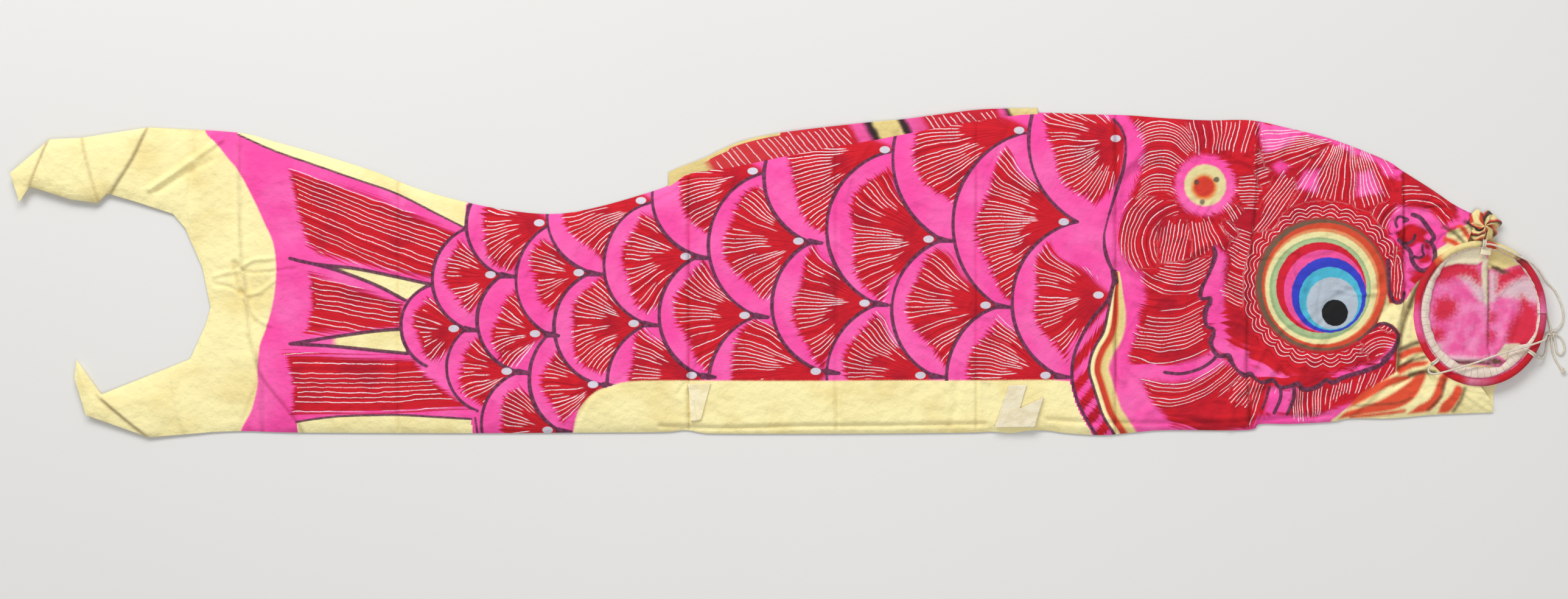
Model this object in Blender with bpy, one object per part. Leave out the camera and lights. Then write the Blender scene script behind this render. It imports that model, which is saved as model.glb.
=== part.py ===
"""Carp streamer: a cotton fish-shaped wind tube lying flat, with its hoop, fins and bridle.

Metres, +Z up. The length runs along X with the head at +X, and the back of the fish is at +Y.
The origin is under the middle of the streamer, on the surface that it lies on.
Outlines are listed in millimetres from the layout mark, which is MARK_TO_MIDDLE from the middle.
"""
import math

import bmesh
import bpy
from mathutils import Matrix, Vector

MM = 0.001
MARK_TO_MIDDLE = 3.5 * MM  # the layout mark lies this far from the middle, towards the head

# Cloth: two painted sides, sewn along the back and the belly
CLOTH = 1.0 * MM
AIR = 5.5 * MM  # between the two sides
GAP = 0.3 * MM  # between pieces that touch
NEAR_BOTTOM = CLOTH + AIR
NEAR_TOP = NEAR_BOTTOM + CLOTH
SEAM_WIDTH = 6.0
SEAM_INSET = 1.0

# Storage creases that the streamer folds along, from tail to mouth
TAIL_CREASE = -530.0
REAR_CREASE = -235.0
HEAD_CREASE = 328.0
MOUTH_CREASE = 610.0

# Mouth hoop: a wire ring, slightly oval, in a sewn casing
HOOP_CENTRE = (686.0, -40.0)
HOOP_RADII = (62.2, 68.2)  # to the wire's centre line
HOOP_HEIGHT = 8.0 * MM
WIRE_RADIUS = 1.5 * MM
SLEEVE_INNER = 1.8 * MM
SLEEVE_OUTER = 2.5 * MM
SLEEVE_SPAN = math.radians(24.0)
WIRE_ENDS_APART = math.radians(2.0)
CASING_INNER = 3.0 * MM
CASING_OUTER = 3.8 * MM
CASING_SLIT = math.radians(50.0)
TAPE_WIDTH = 6.0
TAPE_THICKNESS = 0.8 * MM
RING_STEPS = 56

# String
STRING_RADIUS = 1.0 * MM
STRING_STEP = 5.5 * MM
STRING_BEVEL = 2
KNOT_CENTRE = (757.5, -60.0, 3.1)
KNOT_RADIUS = 3.0 * MM
END_KNOT_CENTRE = (769.3, -96.5, 2.3)
END_KNOT_RADIUS = 2.2 * MM
TIE_ANGLES = {"top": 87.0, "left": 224.6, "right": -34.9}

# The edges of the two sides, from tail to mouth
BACK_EDGE = (
    (-530, 137), (-500, 129), (-450, 115), (-400, 99), (-360, 83), (-310, 69), (-260, 60),
    (-220, 58), (-180, 65), (-128, 80), (-93, 100), (258, 160.7), (275, 156.5), (340, 155),
    (400, 150), (462, 150), (520, 138), (560, 125), (600, 107), (610, 101),
)
BELLY_EDGE = (
    (-530, -156), (-472, -157.5), (-300, -158), (-100, -157), (60, -158.5), (180, -157),
    (316, -160), (380, -155), (458, -155), (500, -149), (560, -144.5), (610, -143),
)
TAIL_FORK = (
    (-568, 139), (-624, 143), (-690, 132.5), (-720, 131), (-759, 98), (-750, 69.5), (-740, 85),
    (-700, 72), (-674, 68.5), (-664, 78), (-640, 71), (-600, 58), (-588, 44), (-571, 5),
    (-563, -35), (-568, -52), (-583, -85), (-630, -104), (-670, -120), (-694, -86),
    (-696, -104), (-685, -140), (-624, -162), (-576, -157.5),
)
MOUTH_BACK = ((610.3, 101), (640, 82), (660, 68), (673, 59.5), (672, 40))
MOUTH_BELLY = ((700, -137.5), (660, -139), (610.3, -143))
MOUTH_FAR = (
    (610.3, 101), (640, 82), (673, 59.5), (697, 50), (703, 30), (725, 17), (740, -5),
    (744.5, -40), (738, -78), (720, -98), (703, -112), (699, -138), (640, -140.5), (610.3, -143),
)

# Fins: their sewn edges are the lines that they flap about
FIN_ROOT = ((-112.0, 97.0), (252.0, 159.8))
FIN_EDGE = (
    (252, 162), (200, 161), (160, 156.5), (118, 151), (75, 147), (0, 138), (-38, 130),
    (-60, 121), (-75, 113), (-100, 103.5),
)
FIN_HEIGHT = (3.0 * MM, 4.0 * MM)
PELVIC_TAB = ((-93, -110), (-70, -110), (-77, -132), (-80, -144.6), (-87, -147))
PECTORAL_TAB = (
    (223, -112), (240, -112), (241, -131), (257.5, -122), (248, -152), (209, -152),
)
TAB_HEIGHT = (NEAR_TOP + GAP, NEAR_TOP + GAP + 0.8 * MM)

# String routes, in millimetres from the layout mark and up from the surface
LEG_LEFT = (
    (637.3, -91.8, 11.3), (635.0, -93.8, 11.4), (634.6, -96.6, 11.2), (637.0, -99.0, 11.4),
    (642.0, -99.4, 12.6), (650.0, -97.4, 13.6), (664.0, -93.6, 13.2), (682.0, -88.0, 12.2),
    (700.0, -81.6, 11.8), (718.0, -76.2, 12.4), (733.0, -71.6, 13.3), (746.5, -67.0, 13.1),
    (750.0, -64.8, 10.5), (751.4, -62.7, 7.3), (752.2, -61.3, 4.8), (753.6, -60.4, 3.3),
)
LEG_TOP = (
    (690.7, 28.0, 13.3), (698.0, 27.2, 13.4), (710.0, 22.6, 13.4), (721.0, 17.2, 13.2),
    (730.0, 12.8, 12.0), (738.0, 8.0, 9.0), (745.5, 0.5, 5.6), (751.0, -7.0, 2.8),
    (756.0, -12.0, 1.3), (761.0, -17.5, 1.2), (765.0, -25.0, 1.2), (768.0, -33.0, 1.2),
    (769.6, -41.0, 1.2), (768.6, -49.0, 1.2), (765.2, -54.6, 1.5), (760.3, -57.6, 2.4),
)
LEG_RIGHT = (
    (742.4, -82.4, 8.0), (744.8, -83.8, 6.9), (747.8, -84.2, 4.2), (750.4, -82.4, 2.0),
    (752.0, -78.3, 1.3), (753.0, -73.0, 1.2), (753.8, -67.6, 1.4), (755.2, -62.7, 2.4),
)
SPARE_END = (
    (757.2, -56.4, 2.4), (756.3, -52.0, 1.4), (754.6, -45.0, 1.2), (753.0, -37.0, 1.2),
    (751.3, -30.0, 1.2), (749.6, -24.0, 1.2),
)
TOW_LOOP = (
    (761.1, -60.2, 2.4), (764.5, -61.6, 1.5), (768.0, -65.2, 1.2), (770.3, -70.5, 1.2),
    (770.6, -76.5, 1.2), (767.5, -80.8, 1.2), (763.8, -79.2, 1.2), (762.3, -74.0, 1.2),
    (761.6, -68.0, 1.4), (760.0, -62.6, 2.4),
)
TOW_TAIL = (
    (757.6, -63.6, 2.4), (757.9, -68.0, 1.4), (758.4, -74.0, 1.2), (759.6, -80.0, 1.2),
    (762.0, -86.0, 1.2), (765.2, -91.4, 1.3), (767.6, -94.6, 2.0),
)


def clear_scene():
    for item in list(bpy.data.objects):
        bpy.data.objects.remove(item, do_unlink=True)


def linear(value):
    """One channel of a display colour, 0 to 255, as linear light."""
    share = value / 255.0
    return share / 12.92 if share <= 0.04045 else ((share + 0.055) / 1.055) ** 2.4


def finish(name, colour, roughness, metallic=0.0):
    material = bpy.data.materials.new(name)
    material.use_nodes = True
    shader = material.node_tree.nodes["Principled BSDF"]
    shader.inputs["Base Color"].default_value = (*(linear(c) for c in colour), 1.0)
    shader.inputs["Roughness"].default_value = roughness
    shader.inputs["Metallic"].default_value = metallic
    return material


def from_mark(x, y, z=0.0):
    """A layout point in millimetres, with its height in metres, in the part's own frame."""
    return Vector((x * MM + MARK_TO_MIDDLE, y * MM, z))


def pivot(name, point, parent=None):
    """An empty on a joint's axis, which carries the pieces that turn about it."""
    empty = bpy.data.objects.new(name, None)
    bpy.context.collection.objects.link(empty)
    empty.location = point
    if parent:
        empty.parent = parent
        empty.location = point - parent.matrix_world.translation
    bpy.context.view_layer.update()
    return empty


def add(name, mesh, material, parent=None):
    """Links a mesh made in the part's own frame, hung on its pivot where it has one."""
    piece = bpy.data.objects.new(name, mesh)
    bpy.context.collection.objects.link(piece)
    mesh.materials.append(material)
    if parent:
        origin = parent.matrix_world.translation
        mesh.transform(Matrix.Translation(-origin))
        piece.parent = parent
    return piece


def slab(outline, low, high):
    """A closed flat plate from an outline of (x, y) layout points."""
    form = bmesh.new()
    base = [form.verts.new(from_mark(x, y, low)) for x, y in outline]
    face = form.faces.new(base)
    grown = bmesh.ops.extrude_face_region(form, geom=[face])
    moved = [item for item in grown["geom"] if isinstance(item, bmesh.types.BMVert)]
    bmesh.ops.translate(form, verts=moved, vec=(0.0, 0.0, high - low))
    bmesh.ops.recalc_face_normals(form, faces=form.faces)
    mesh = bpy.data.meshes.new("plate")
    form.to_mesh(mesh)
    form.free()
    return mesh


def height_at(edge, x):
    """The y of an edge at x, read along its straight stretches."""
    for (x0, y0), (x1, y1) in zip(edge, edge[1:]):
        if x0 <= x <= x1:
            return y0 + (y1 - y0) * (x - x0) / (x1 - x0)
    raise ValueError("x is off the edge")


def stretch(edge, start, end):
    """The part of an edge between two creases."""
    inner = [point for point in edge if start < point[0] < end]
    return [(start, height_at(edge, start))] + inner + [(end, height_at(edge, end))]


def section(start, end):
    """The outline of one side of the cloth between two creases."""
    back = stretch(BACK_EDGE, start, end)
    belly = stretch(BELLY_EDGE, start, end)
    return belly + back[::-1]


def seam(edge, start, end, inwards):
    """The outline of a seam allowance that runs just inside an edge."""
    line = stretch(edge, start, end)
    outer = [(x, y + inwards * SEAM_INSET) for x, y in line]
    inner = [(x, y + inwards * (SEAM_INSET + SEAM_WIDTH)) for x, y in line]
    return outer + inner[::-1]


def side(name, outline, far, material, parent=None):
    low, high = (0.0, CLOTH) if far else (NEAR_BOTTOM, NEAR_TOP)
    return add(name, slab(outline, low, high), material, parent)


def cloth_section(word, start, end, colours, parent=None):
    """Both sides of one section, with the seam allowances that hold them together."""
    outline = section(start, end)
    side("near_side_" + word, outline, False, colours["painted"], parent)
    side("far_side_" + word, outline, True, colours["painted"], parent)
    low, high = CLOTH + GAP, NEAR_BOTTOM - GAP
    for edge, place, inwards in ((BACK_EDGE, "back", -1), (BELLY_EDGE, "belly", 1)):
        mesh = slab(seam(edge, start, end, inwards), low, high)
        add(place + "_seam_" + word, mesh, colours["belly"], parent)


def make_tail(colours, parent):
    start = TAIL_CREASE - GAP / MM
    outline = (
        [(start, height_at(BACK_EDGE, TAIL_CREASE))]
        + list(TAIL_FORK)
        + [(start, height_at(BELLY_EDGE, TAIL_CREASE))]
    )
    side("near_side_tail", outline, False, colours["tail"], parent)
    side("far_side_tail", outline, True, colours["tail"], parent)


def on_hoop(angle, reach=0.0):
    """A layout point on the hoop's centre line, or reach millimetres outside it."""
    rx, ry = HOOP_RADII
    normal = Vector((math.cos(angle) / rx, math.sin(angle) / ry)).normalized()
    x = HOOP_CENTRE[0] + rx * math.cos(angle) + normal.x * reach
    y = HOOP_CENTRE[1] + ry * math.sin(angle) + normal.y * reach
    return x, y


def swept(profile, angles, closed):
    """A solid swept round the hoop. The profile gives (outward, up) from the centre line."""
    form = bmesh.new()
    rings = []
    for angle in angles:
        ring = []
        for outward, up in profile:
            x, y = on_hoop(angle, outward / MM)
            ring.append(form.verts.new(from_mark(x, y, HOOP_HEIGHT + up)))
        rings.append(ring)
    pairs = list(zip(rings, rings[1:]))
    if closed:
        pairs.append((rings[-1], rings[0]))
    count = len(profile)
    for ring, following in pairs:
        for i in range(count):
            j = (i + 1) % count
            form.faces.new((ring[i], ring[j], following[j], following[i]))
    if not closed:
        form.faces.new(rings[0])
        form.faces.new(rings[-1][::-1])
    bmesh.ops.recalc_face_normals(form, faces=form.faces)
    mesh = bpy.data.meshes.new("sweep")
    form.to_mesh(mesh)
    form.free()
    return mesh


def circle(radius, count):
    turn = 2.0 * math.pi / count
    return [(radius * math.cos(i * turn), radius * math.sin(i * turn)) for i in range(count)]


def smooth(piece):
    piece.data.shade_smooth()
    piece.data.set_sharp_from_angle(angle=math.radians(40.0))
    return piece


def ring_angles(start, end, count, closed=False):
    steps = count if closed else count - 1
    return [start + (end - start) * i / steps for i in range(count)]


def make_wire(colours, parent):
    """The hoop's wire, whose ends meet in the sleeve at the bottom of the mouth."""
    meeting = -math.pi / 2.0
    apart = WIRE_ENDS_APART / 2.0
    angles = ring_angles(meeting + apart, meeting + 2.0 * math.pi - apart, RING_STEPS)
    smooth(add("hoop_wire", swept(circle(WIRE_RADIUS, 8), angles, False), colours["wire"], parent))


def make_sleeve(colours, parent):
    """The sleeve that joins the wire's two ends: a short tube, open at both of its ends."""
    meeting = -math.pi / 2.0
    angles = ring_angles(meeting - SLEEVE_SPAN / 2.0, meeting + SLEEVE_SPAN / 2.0, 7)
    sides = 10
    form = bmesh.new()
    walls = []
    for radius in (SLEEVE_OUTER, SLEEVE_INNER):
        rings = []
        for angle in angles:
            ring = []
            for outward, up in circle(radius, sides):
                x, y = on_hoop(angle, outward / MM)
                ring.append(form.verts.new(from_mark(x, y, HOOP_HEIGHT + up)))
            rings.append(ring)
        walls.append(rings)
        for ring, following in zip(rings, rings[1:]):
            for i in range(sides):
                j = (i + 1) % sides
                form.faces.new((ring[i], ring[j], following[j], following[i]))
    for end in (0, -1):
        outer, inner = walls[0][end], walls[1][end]
        for i in range(sides):
            j = (i + 1) % sides
            form.faces.new((outer[i], outer[j], inner[j], inner[i]))
    bmesh.ops.recalc_face_normals(form, faces=form.faces)
    mesh = bpy.data.meshes.new("sleeve")
    form.to_mesh(mesh)
    form.free()
    smooth(add("hoop_sleeve", mesh, colours["sleeve"], parent))


def make_casing(colours, parent):
    """The sewn tube of cloth round the wire, slit along the side that faces the mouth."""
    count = 11
    first = math.pi + CASING_SLIT / 2.0
    last = 3.0 * math.pi - CASING_SLIT / 2.0
    arc = ring_angles(first, last, count)
    outer = [(CASING_OUTER * math.cos(a), CASING_OUTER * math.sin(a)) for a in arc]
    inner = [(CASING_INNER * math.cos(a), CASING_INNER * math.sin(a)) for a in arc]
    angles = ring_angles(0.0, 2.0 * math.pi, RING_STEPS, closed=True)
    mesh = swept(outer + inner[::-1], angles, True)
    smooth(add("hoop_casing", mesh, colours["casing"], parent))


def make_hem_tape(colours, parent):
    """The cream turned edge of the mouth, a flat band just inside the casing and its ties."""
    outside = -(CASING_OUTER + 2.0 * (STRING_RADIUS + GAP))
    inside = outside - TAPE_WIDTH * MM
    half = TAPE_THICKNESS / 2.0
    profile = [(outside, -half), (outside, half), (inside, half), (inside, -half)]
    angles = ring_angles(0.0, 2.0 * math.pi, RING_STEPS, closed=True)
    add("hem_tape", swept(profile, angles, True), colours["cream"], parent)


def make_ties(colours, parent):
    """Three turns of string round the casing, one for each leg of the bridle."""
    reach = CASING_OUTER + GAP + STRING_RADIUS
    for word, degrees in TIE_ANGLES.items():
        angle = math.radians(degrees)
        x, y = on_hoop(angle)
        ahead = Vector(on_hoop(angle + 0.01)) - Vector(on_hoop(angle - 0.01))
        heading = math.atan2(ahead.y, ahead.x)
        bpy.ops.mesh.primitive_torus_add(
            major_radius=reach, minor_radius=STRING_RADIUS, major_segments=16, minor_segments=8
        )
        made = bpy.context.object
        mesh = made.data.copy()
        bpy.data.objects.remove(made, do_unlink=True)
        upright = Matrix.Rotation(math.pi / 2.0, 4, "Y")
        turned = Matrix.Rotation(heading, 4, "Z")
        mesh.transform(Matrix.Translation(from_mark(x, y, HOOP_HEIGHT)) @ turned @ upright)
        smooth(add("bridle_tie_" + word, mesh, colours["string"], parent))


def smooth_route(route, step):
    """Points about a step apart on a smooth curve through the route's own points."""
    points = [from_mark(x, y, z * MM) for x, y, z in route]
    dense = []
    for i in range(len(points) - 1):
        before = points[max(i - 1, 0)]
        a, b = points[i], points[i + 1]
        after = points[min(i + 2, len(points) - 1)]
        for k in range(12):
            t = k / 12.0
            dense.append(
                0.5 * (2.0 * a + (b - before) * t + (2.0 * before - 5.0 * a + 4.0 * b - after) * t * t
                       + (3.0 * a - before - 3.0 * b + after) * t ** 3)
            )
    dense.append(points[-1])
    lengths = [0.0]
    for a, b in zip(dense, dense[1:]):
        lengths.append(lengths[-1] + (b - a).length)
    count = max(3, round(lengths[-1] / step))
    chosen, at = [], 0
    for k in range(count + 1):
        wanted = lengths[-1] * k / count
        while at < len(lengths) - 2 and lengths[at + 1] < wanted:
            at += 1
        span = max(lengths[at + 1] - lengths[at], 1e-9)
        chosen.append(dense[at].lerp(dense[at + 1], min(1.0, (wanted - lengths[at]) / span)))
    return chosen


def make_string(name, route, material, parent):
    """A length of string as a bevelled curve with its ends filled."""
    curve = bpy.data.curves.new(name, "CURVE")
    curve.dimensions = "3D"
    curve.bevel_depth = STRING_RADIUS
    curve.bevel_resolution = STRING_BEVEL
    curve.use_fill_caps = True
    points = smooth_route(route, STRING_STEP)
    spline = curve.splines.new("POLY")
    spline.points.add(len(points) - 1)
    origin = parent.matrix_world.translation
    for slot, point in zip(spline.points, points):
        slot.co = (*(point - origin), 1.0)
    spline.use_smooth = True
    curve.materials.append(material)
    piece = bpy.data.objects.new(name, curve)
    bpy.context.collection.objects.link(piece)
    piece.parent = parent


def make_ball(name, centre, size, subdivisions, material, parent):
    """A rounded lump, such as a knot or bunched cloth. The size gives its three radii."""
    form = bmesh.new()
    bmesh.ops.create_icosphere(form, subdivisions=subdivisions, radius=1.0)
    x, y, z = centre
    place = Matrix.Translation(from_mark(x, y, z * MM)) @ Matrix.Diagonal((*size, 1.0))
    bmesh.ops.transform(form, matrix=place, verts=form.verts)
    mesh = bpy.data.meshes.new(name)
    form.to_mesh(mesh)
    form.free()
    return smooth(add(name, mesh, material, parent))


def make_mouth(colours, parent):
    """The cloth at the mouth: the near side stops at the hoop, the far side runs under it."""
    clear_of_ties = (CASING_OUTER + 2.0 * (STRING_RADIUS + GAP)) / MM + 0.4
    arc = [on_hoop(math.radians(a), clear_of_ties) for a in range(105, 271, 11)]
    near = list(MOUTH_BACK) + arc + list(MOUTH_BELLY)
    side("near_side_mouth", near, False, colours["lip"], parent)
    side("far_side_mouth", MOUTH_FAR, True, colours["lip"], parent)
    bunch = (13.0 * MM, 11.5 * MM, 8.5 * MM)
    make_ball("back_gather", (690.0, 46.8, 9.9), bunch, 2, colours["lip"], parent)


def make_hoop(colours, parent):
    make_wire(colours, parent)
    make_sleeve(colours, parent)
    make_casing(colours, parent)
    make_hem_tape(colours, parent)
    make_ties(colours, parent)


def make_bridle(colours, parent):
    string = colours["string"]
    make_string("bridle_leg_left", LEG_LEFT, string, parent)
    make_string("bridle_leg_top", LEG_TOP, string, parent)
    make_string("bridle_leg_right", LEG_RIGHT, string, parent)
    make_string("bridle_spare_end", SPARE_END, string, parent)
    make_string("tow_loop", TOW_LOOP, string, parent)
    make_string("tow_tail", TOW_TAIL, string, parent)
    knot, end_knot = (KNOT_RADIUS,) * 3, (END_KNOT_RADIUS,) * 3
    make_ball("bridle_knot", KNOT_CENTRE, knot, 2, string, parent)
    make_ball("tow_end_knot", END_KNOT_CENTRE, end_knot, 2, string, parent)


def make_fins(colours):
    """The fins, each hung on a pivot at its sewn edge."""
    (x0, y0), (x1, y1) = FIN_ROOT
    middle = from_mark((x0 + x1) / 2.0, (y0 + y1) / 2.0, sum(FIN_HEIGHT) / 2.0)
    dorsal = pivot("dorsal_fin_pivot", middle)
    outline = list(FIN_ROOT) + list(FIN_EDGE)
    add("dorsal_fin", slab(outline, *FIN_HEIGHT), colours["casing"], dorsal)
    tabs = (("pelvic_fin", PELVIC_TAB, "belly"), ("pectoral_fin", PECTORAL_TAB, "cream"))
    for name, tab, colour in tabs:
        top = tab[0]
        sewn = pivot(name + "_pivot", from_mark(top[0], top[1] + GAP / MM, sum(TAB_HEIGHT) / 2.0))
        add(name, slab(tab, *TAB_HEIGHT), colours[colour], sewn)


def main():
    clear_scene()
    colours = {
        "painted": finish("painted_cloth", (235, 70, 120), 0.85),
        "tail": finish("yellow_cloth", (240, 225, 170), 0.85),
        "belly": finish("belly_cloth", (240, 222, 165), 0.85),
        "lip": finish("lip_cloth", (238, 205, 140), 0.85),
        "casing": finish("casing_cloth", (214, 42, 60), 0.85),
        "cream": finish("cream_cloth", (236, 226, 205), 0.9),
        "string": finish("cotton_string", (240, 236, 228), 0.9),
        "wire": finish("galvanised_wire", (150, 152, 155), 0.4, 1.0),
        "sleeve": finish("brass_sleeve", (190, 160, 90), 0.35, 1.0),
    }
    gap = GAP / MM
    crease = NEAR_TOP
    rear = pivot("rear_fold", from_mark(REAR_CREASE, 0.0, crease))
    tail = pivot("tail_fold", from_mark(TAIL_CREASE, 0.0, crease), rear)
    head = pivot("head_fold", from_mark(HEAD_CREASE, 0.0, crease))
    mouth = pivot("mouth_fold", from_mark(MOUTH_CREASE, 0.0, crease), head)
    edge = HOOP_CENTRE[0] + HOOP_RADII[0] + CASING_OUTER / MM
    hoop = pivot("hoop_tilt", from_mark(edge, HOOP_CENTRE[1], CLOTH + GAP), mouth)

    cloth_section("front", REAR_CREASE + gap, HEAD_CREASE - gap, colours)
    cloth_section("rear", TAIL_CREASE + gap, REAR_CREASE - gap, colours, rear)
    cloth_section("head", HEAD_CREASE + gap, MOUTH_CREASE - gap, colours, head)
    make_tail(colours, tail)
    make_mouth(colours, mouth)
    make_hoop(colours, hoop)
    make_bridle(colours, hoop)
    make_fins(colours)


main()
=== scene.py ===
"""Looks of the carp streamer: a painted cotton fish lying flat, with its mouth hoop and bridle.

Lengths are metres in the frame. The cloth and its painting are laid out in millimetres from the
layout mark, x towards the mouth and y towards the back, and to_frame() turns them into the frame.
"""
import math

import bpy
import numpy as np
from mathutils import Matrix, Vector


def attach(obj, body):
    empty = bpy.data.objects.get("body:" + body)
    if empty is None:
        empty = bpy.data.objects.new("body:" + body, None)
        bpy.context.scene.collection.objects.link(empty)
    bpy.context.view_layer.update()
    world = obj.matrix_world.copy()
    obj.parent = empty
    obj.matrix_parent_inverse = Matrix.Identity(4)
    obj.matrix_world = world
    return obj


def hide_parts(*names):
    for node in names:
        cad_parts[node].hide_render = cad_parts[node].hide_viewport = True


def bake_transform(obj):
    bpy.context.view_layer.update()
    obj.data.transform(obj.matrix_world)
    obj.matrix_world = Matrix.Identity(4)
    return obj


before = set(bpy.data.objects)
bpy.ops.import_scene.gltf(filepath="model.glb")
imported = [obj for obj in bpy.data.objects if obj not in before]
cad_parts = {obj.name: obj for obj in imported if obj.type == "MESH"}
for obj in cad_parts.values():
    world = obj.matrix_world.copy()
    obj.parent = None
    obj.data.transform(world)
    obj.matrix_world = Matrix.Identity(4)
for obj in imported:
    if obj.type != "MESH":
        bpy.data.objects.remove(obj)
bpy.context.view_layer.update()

MM = 0.001
MARK_TO_MIDDLE = 3.5 * MM

# Storage creases that the streamer folds along, which are the axes of its joints
TAIL_CREASE, REAR_CREASE, HEAD_CREASE, MOUTH_CREASE = -530.0, -235.0, 328.0, 610.0
# Soft creases, where one piece of the drawn cloth ends and the next begins
TAIL_SPLIT, REAR_SPLIT, FRONT_SPLIT, HEAD_SPLIT = -378.0, -92.0, 191.0, 465.0
BEND_REACH = 12.0  # the length on each side of a joint's axis that is given for the cloth's bend there

NEAR_STEP = 1.6  # between the points of the drawn near side
FAR_STEP = 3.2

# Mouth hoop
HOOP_CENTRE = (686.0, -40.0)
HOOP_RADII = (62.2, 68.2)
HOOP_HEIGHT = 8.0
CASING_RADIUS = 3.7  # of the tube of cloth round the wire
TIE_ANGLES = {"top": 87.0, "left": 224.6, "right": -34.9}

STRING_RADIUS = 1.0


def to_frame(x, y, z):
    """Layout millimetres in the frame, as an array of points."""
    return np.stack([x * MM + MARK_TO_MIDDLE, y * MM, z * MM], axis=-1)


def spot(x, y, z=0.0):
    return Vector((x * MM + MARK_TO_MIDDLE, y * MM, z * MM))


# ---------------------------------------------------------------- camera, floor and light
CAMERA_HEIGHT = 3.0
VIEW_MIDDLE = (0.0053, -0.0264)
VIEW_WIDTH = 1.5456
SENSOR = 36.0
FLOOR_SIZE = 14.0
SOFTBOXES = (  # name, place, where it points, width and height, power
    ("softbox_key", (-0.75, 2.2, 2.0), (0.0, -0.1, 0.0), (3.2, 1.1), 79.0),
    ("softbox_top", (0.75, -0.9, 2.9), (0.3, -0.3, 0.0), (2.4, 1.6), 27.0),
)
WORLD_STRENGTH = 0.33


def make_camera():
    lens = bpy.data.cameras.new("camera")
    lens.sensor_width = SENSOR
    lens.lens = SENSOR * CAMERA_HEIGHT / VIEW_WIDTH
    lens.clip_end = 60.0
    camera = bpy.data.objects.new("camera", lens)
    bpy.context.scene.collection.objects.link(camera)
    camera.location = (*VIEW_MIDDLE, CAMERA_HEIGHT)
    bpy.context.scene.camera = camera


def make_light(name, place, aim, size, power):
    lamp = bpy.data.lights.new(name, "AREA")
    lamp.shape = "RECTANGLE"
    lamp.size, lamp.size_y = size
    lamp.energy = power
    light = bpy.data.objects.new(name, lamp)
    bpy.context.scene.collection.objects.link(light)
    light.location = place
    light.rotation_euler = (Vector(aim) - Vector(place)).to_track_quat("-Z", "Y").to_euler()


def make_world(strength):
    world = bpy.data.worlds.new("studio")
    bpy.context.scene.world = world
    world.use_nodes = True
    background = world.node_tree.nodes["Background"]
    background.inputs["Color"].default_value = (1.0, 0.995, 0.985, 1.0)
    background.inputs["Strength"].default_value = strength


make_camera()
bpy.context.scene.view_settings.view_transform = "Standard"
for light in SOFTBOXES:
    make_light(*light)
make_world(WORLD_STRENGTH)


# ---------------------------------------------------------------- lines and regions
FAR_AWAY = 40.0  # distances are not followed beyond this many millimetres


def smooth_line(points, parts=6):
    """Points on a smooth curve through the given points."""
    given = np.array(points, float)
    padded = np.vstack([2.0 * given[0] - given[1], given, 2.0 * given[-1] - given[-2]])
    curve = []
    for i in range(len(given) - 1):
        before, a, b, after = padded[i:i + 4]
        for t in np.arange(parts) / parts:
            curve.append(
                0.5 * (2.0 * a + (b - before) * t
                       + (2.0 * before - 5.0 * a + 4.0 * b - after) * t ** 2
                       + (3.0 * a - before - 3.0 * b + after) * t ** 3)
            )
    curve.append(given[-1])
    return np.array(curve)


def rounded(outline):
    """A smooth closed curve through an outline's points."""
    return smooth_line(outline + outline[:1], 4)


def distance_to(x, y, line):
    """How far each point is from an open line, up to FAR_AWAY."""
    line = np.array(line, float)
    low, high = line.min(axis=0) - FAR_AWAY, line.max(axis=0) + FAR_AWAY
    close = (x > low[0]) & (x < high[0]) & (y > low[1]) & (y < high[1])
    px, py = x[close], y[close]
    best = np.full(px.shape, FAR_AWAY ** 2)
    for a, b in zip(line, line[1:]):
        run = b - a
        size = max(float(run @ run), 1e-9)
        t = np.clip(((px - a[0]) * run[0] + (py - a[1]) * run[1]) / size, 0.0, 1.0)
        best = np.minimum(best, (px - a[0] - t * run[0]) ** 2 + (py - a[1] - t * run[1]) ** 2)
    found = np.full(x.shape, FAR_AWAY)
    found[close] = np.sqrt(best)
    return found


def depth_in(x, y, outline):
    """How far each point is inside a closed outline, negative outside it."""
    closed = np.vstack([outline, outline[:1]])
    odd = np.zeros(x.shape, bool)
    for (x0, y0), (x1, y1) in zip(closed, closed[1:]):
        if y0 != y1:
            odd ^= ((y0 > y) != (y1 > y)) & (x < x0 + (y - y0) * (x1 - x0) / (y1 - y0))
    gap = distance_to(x, y, closed)
    return np.where(odd, gap, -gap)


def circle_through(a, b, c):
    """Centre and radius of the circle through three points."""
    (ax, ay), (bx, by), (cx, cy) = a, b, c
    d = 2.0 * (ax * (by - cy) + bx * (cy - ay) + cx * (ay - by))
    a2, b2, c2 = ax * ax + ay * ay, bx * bx + by * by, cx * cx + cy * cy
    ux = (a2 * (by - cy) + b2 * (cy - ay) + c2 * (ay - by)) / d
    uy = (a2 * (cx - bx) + b2 * (ax - cx) + c2 * (bx - ax)) / d
    return ux, uy, math.hypot(ax - ux, ay - uy)


def soft_step(value, low, high):
    t = np.clip((value - low) / (high - low), 0.0, 1.0)
    return t * t * (3.0 - 2.0 * t)


def wavy(x, y, size, seed):
    """Smooth uneven values from about -1 to 1 that change over about size millimetres."""
    rng = np.random.default_rng(seed)
    total = np.zeros(np.shape(x))
    for _ in range(6):
        heading, phase = rng.uniform(0.0, 2.0 * math.pi, 2)
        wave = 2.0 * math.pi / (size * rng.uniform(1.4, 3.2))
        total = total + np.sin((x * math.cos(heading) + y * math.sin(heading)) * wave + phase)
    return total / 3.0


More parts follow.
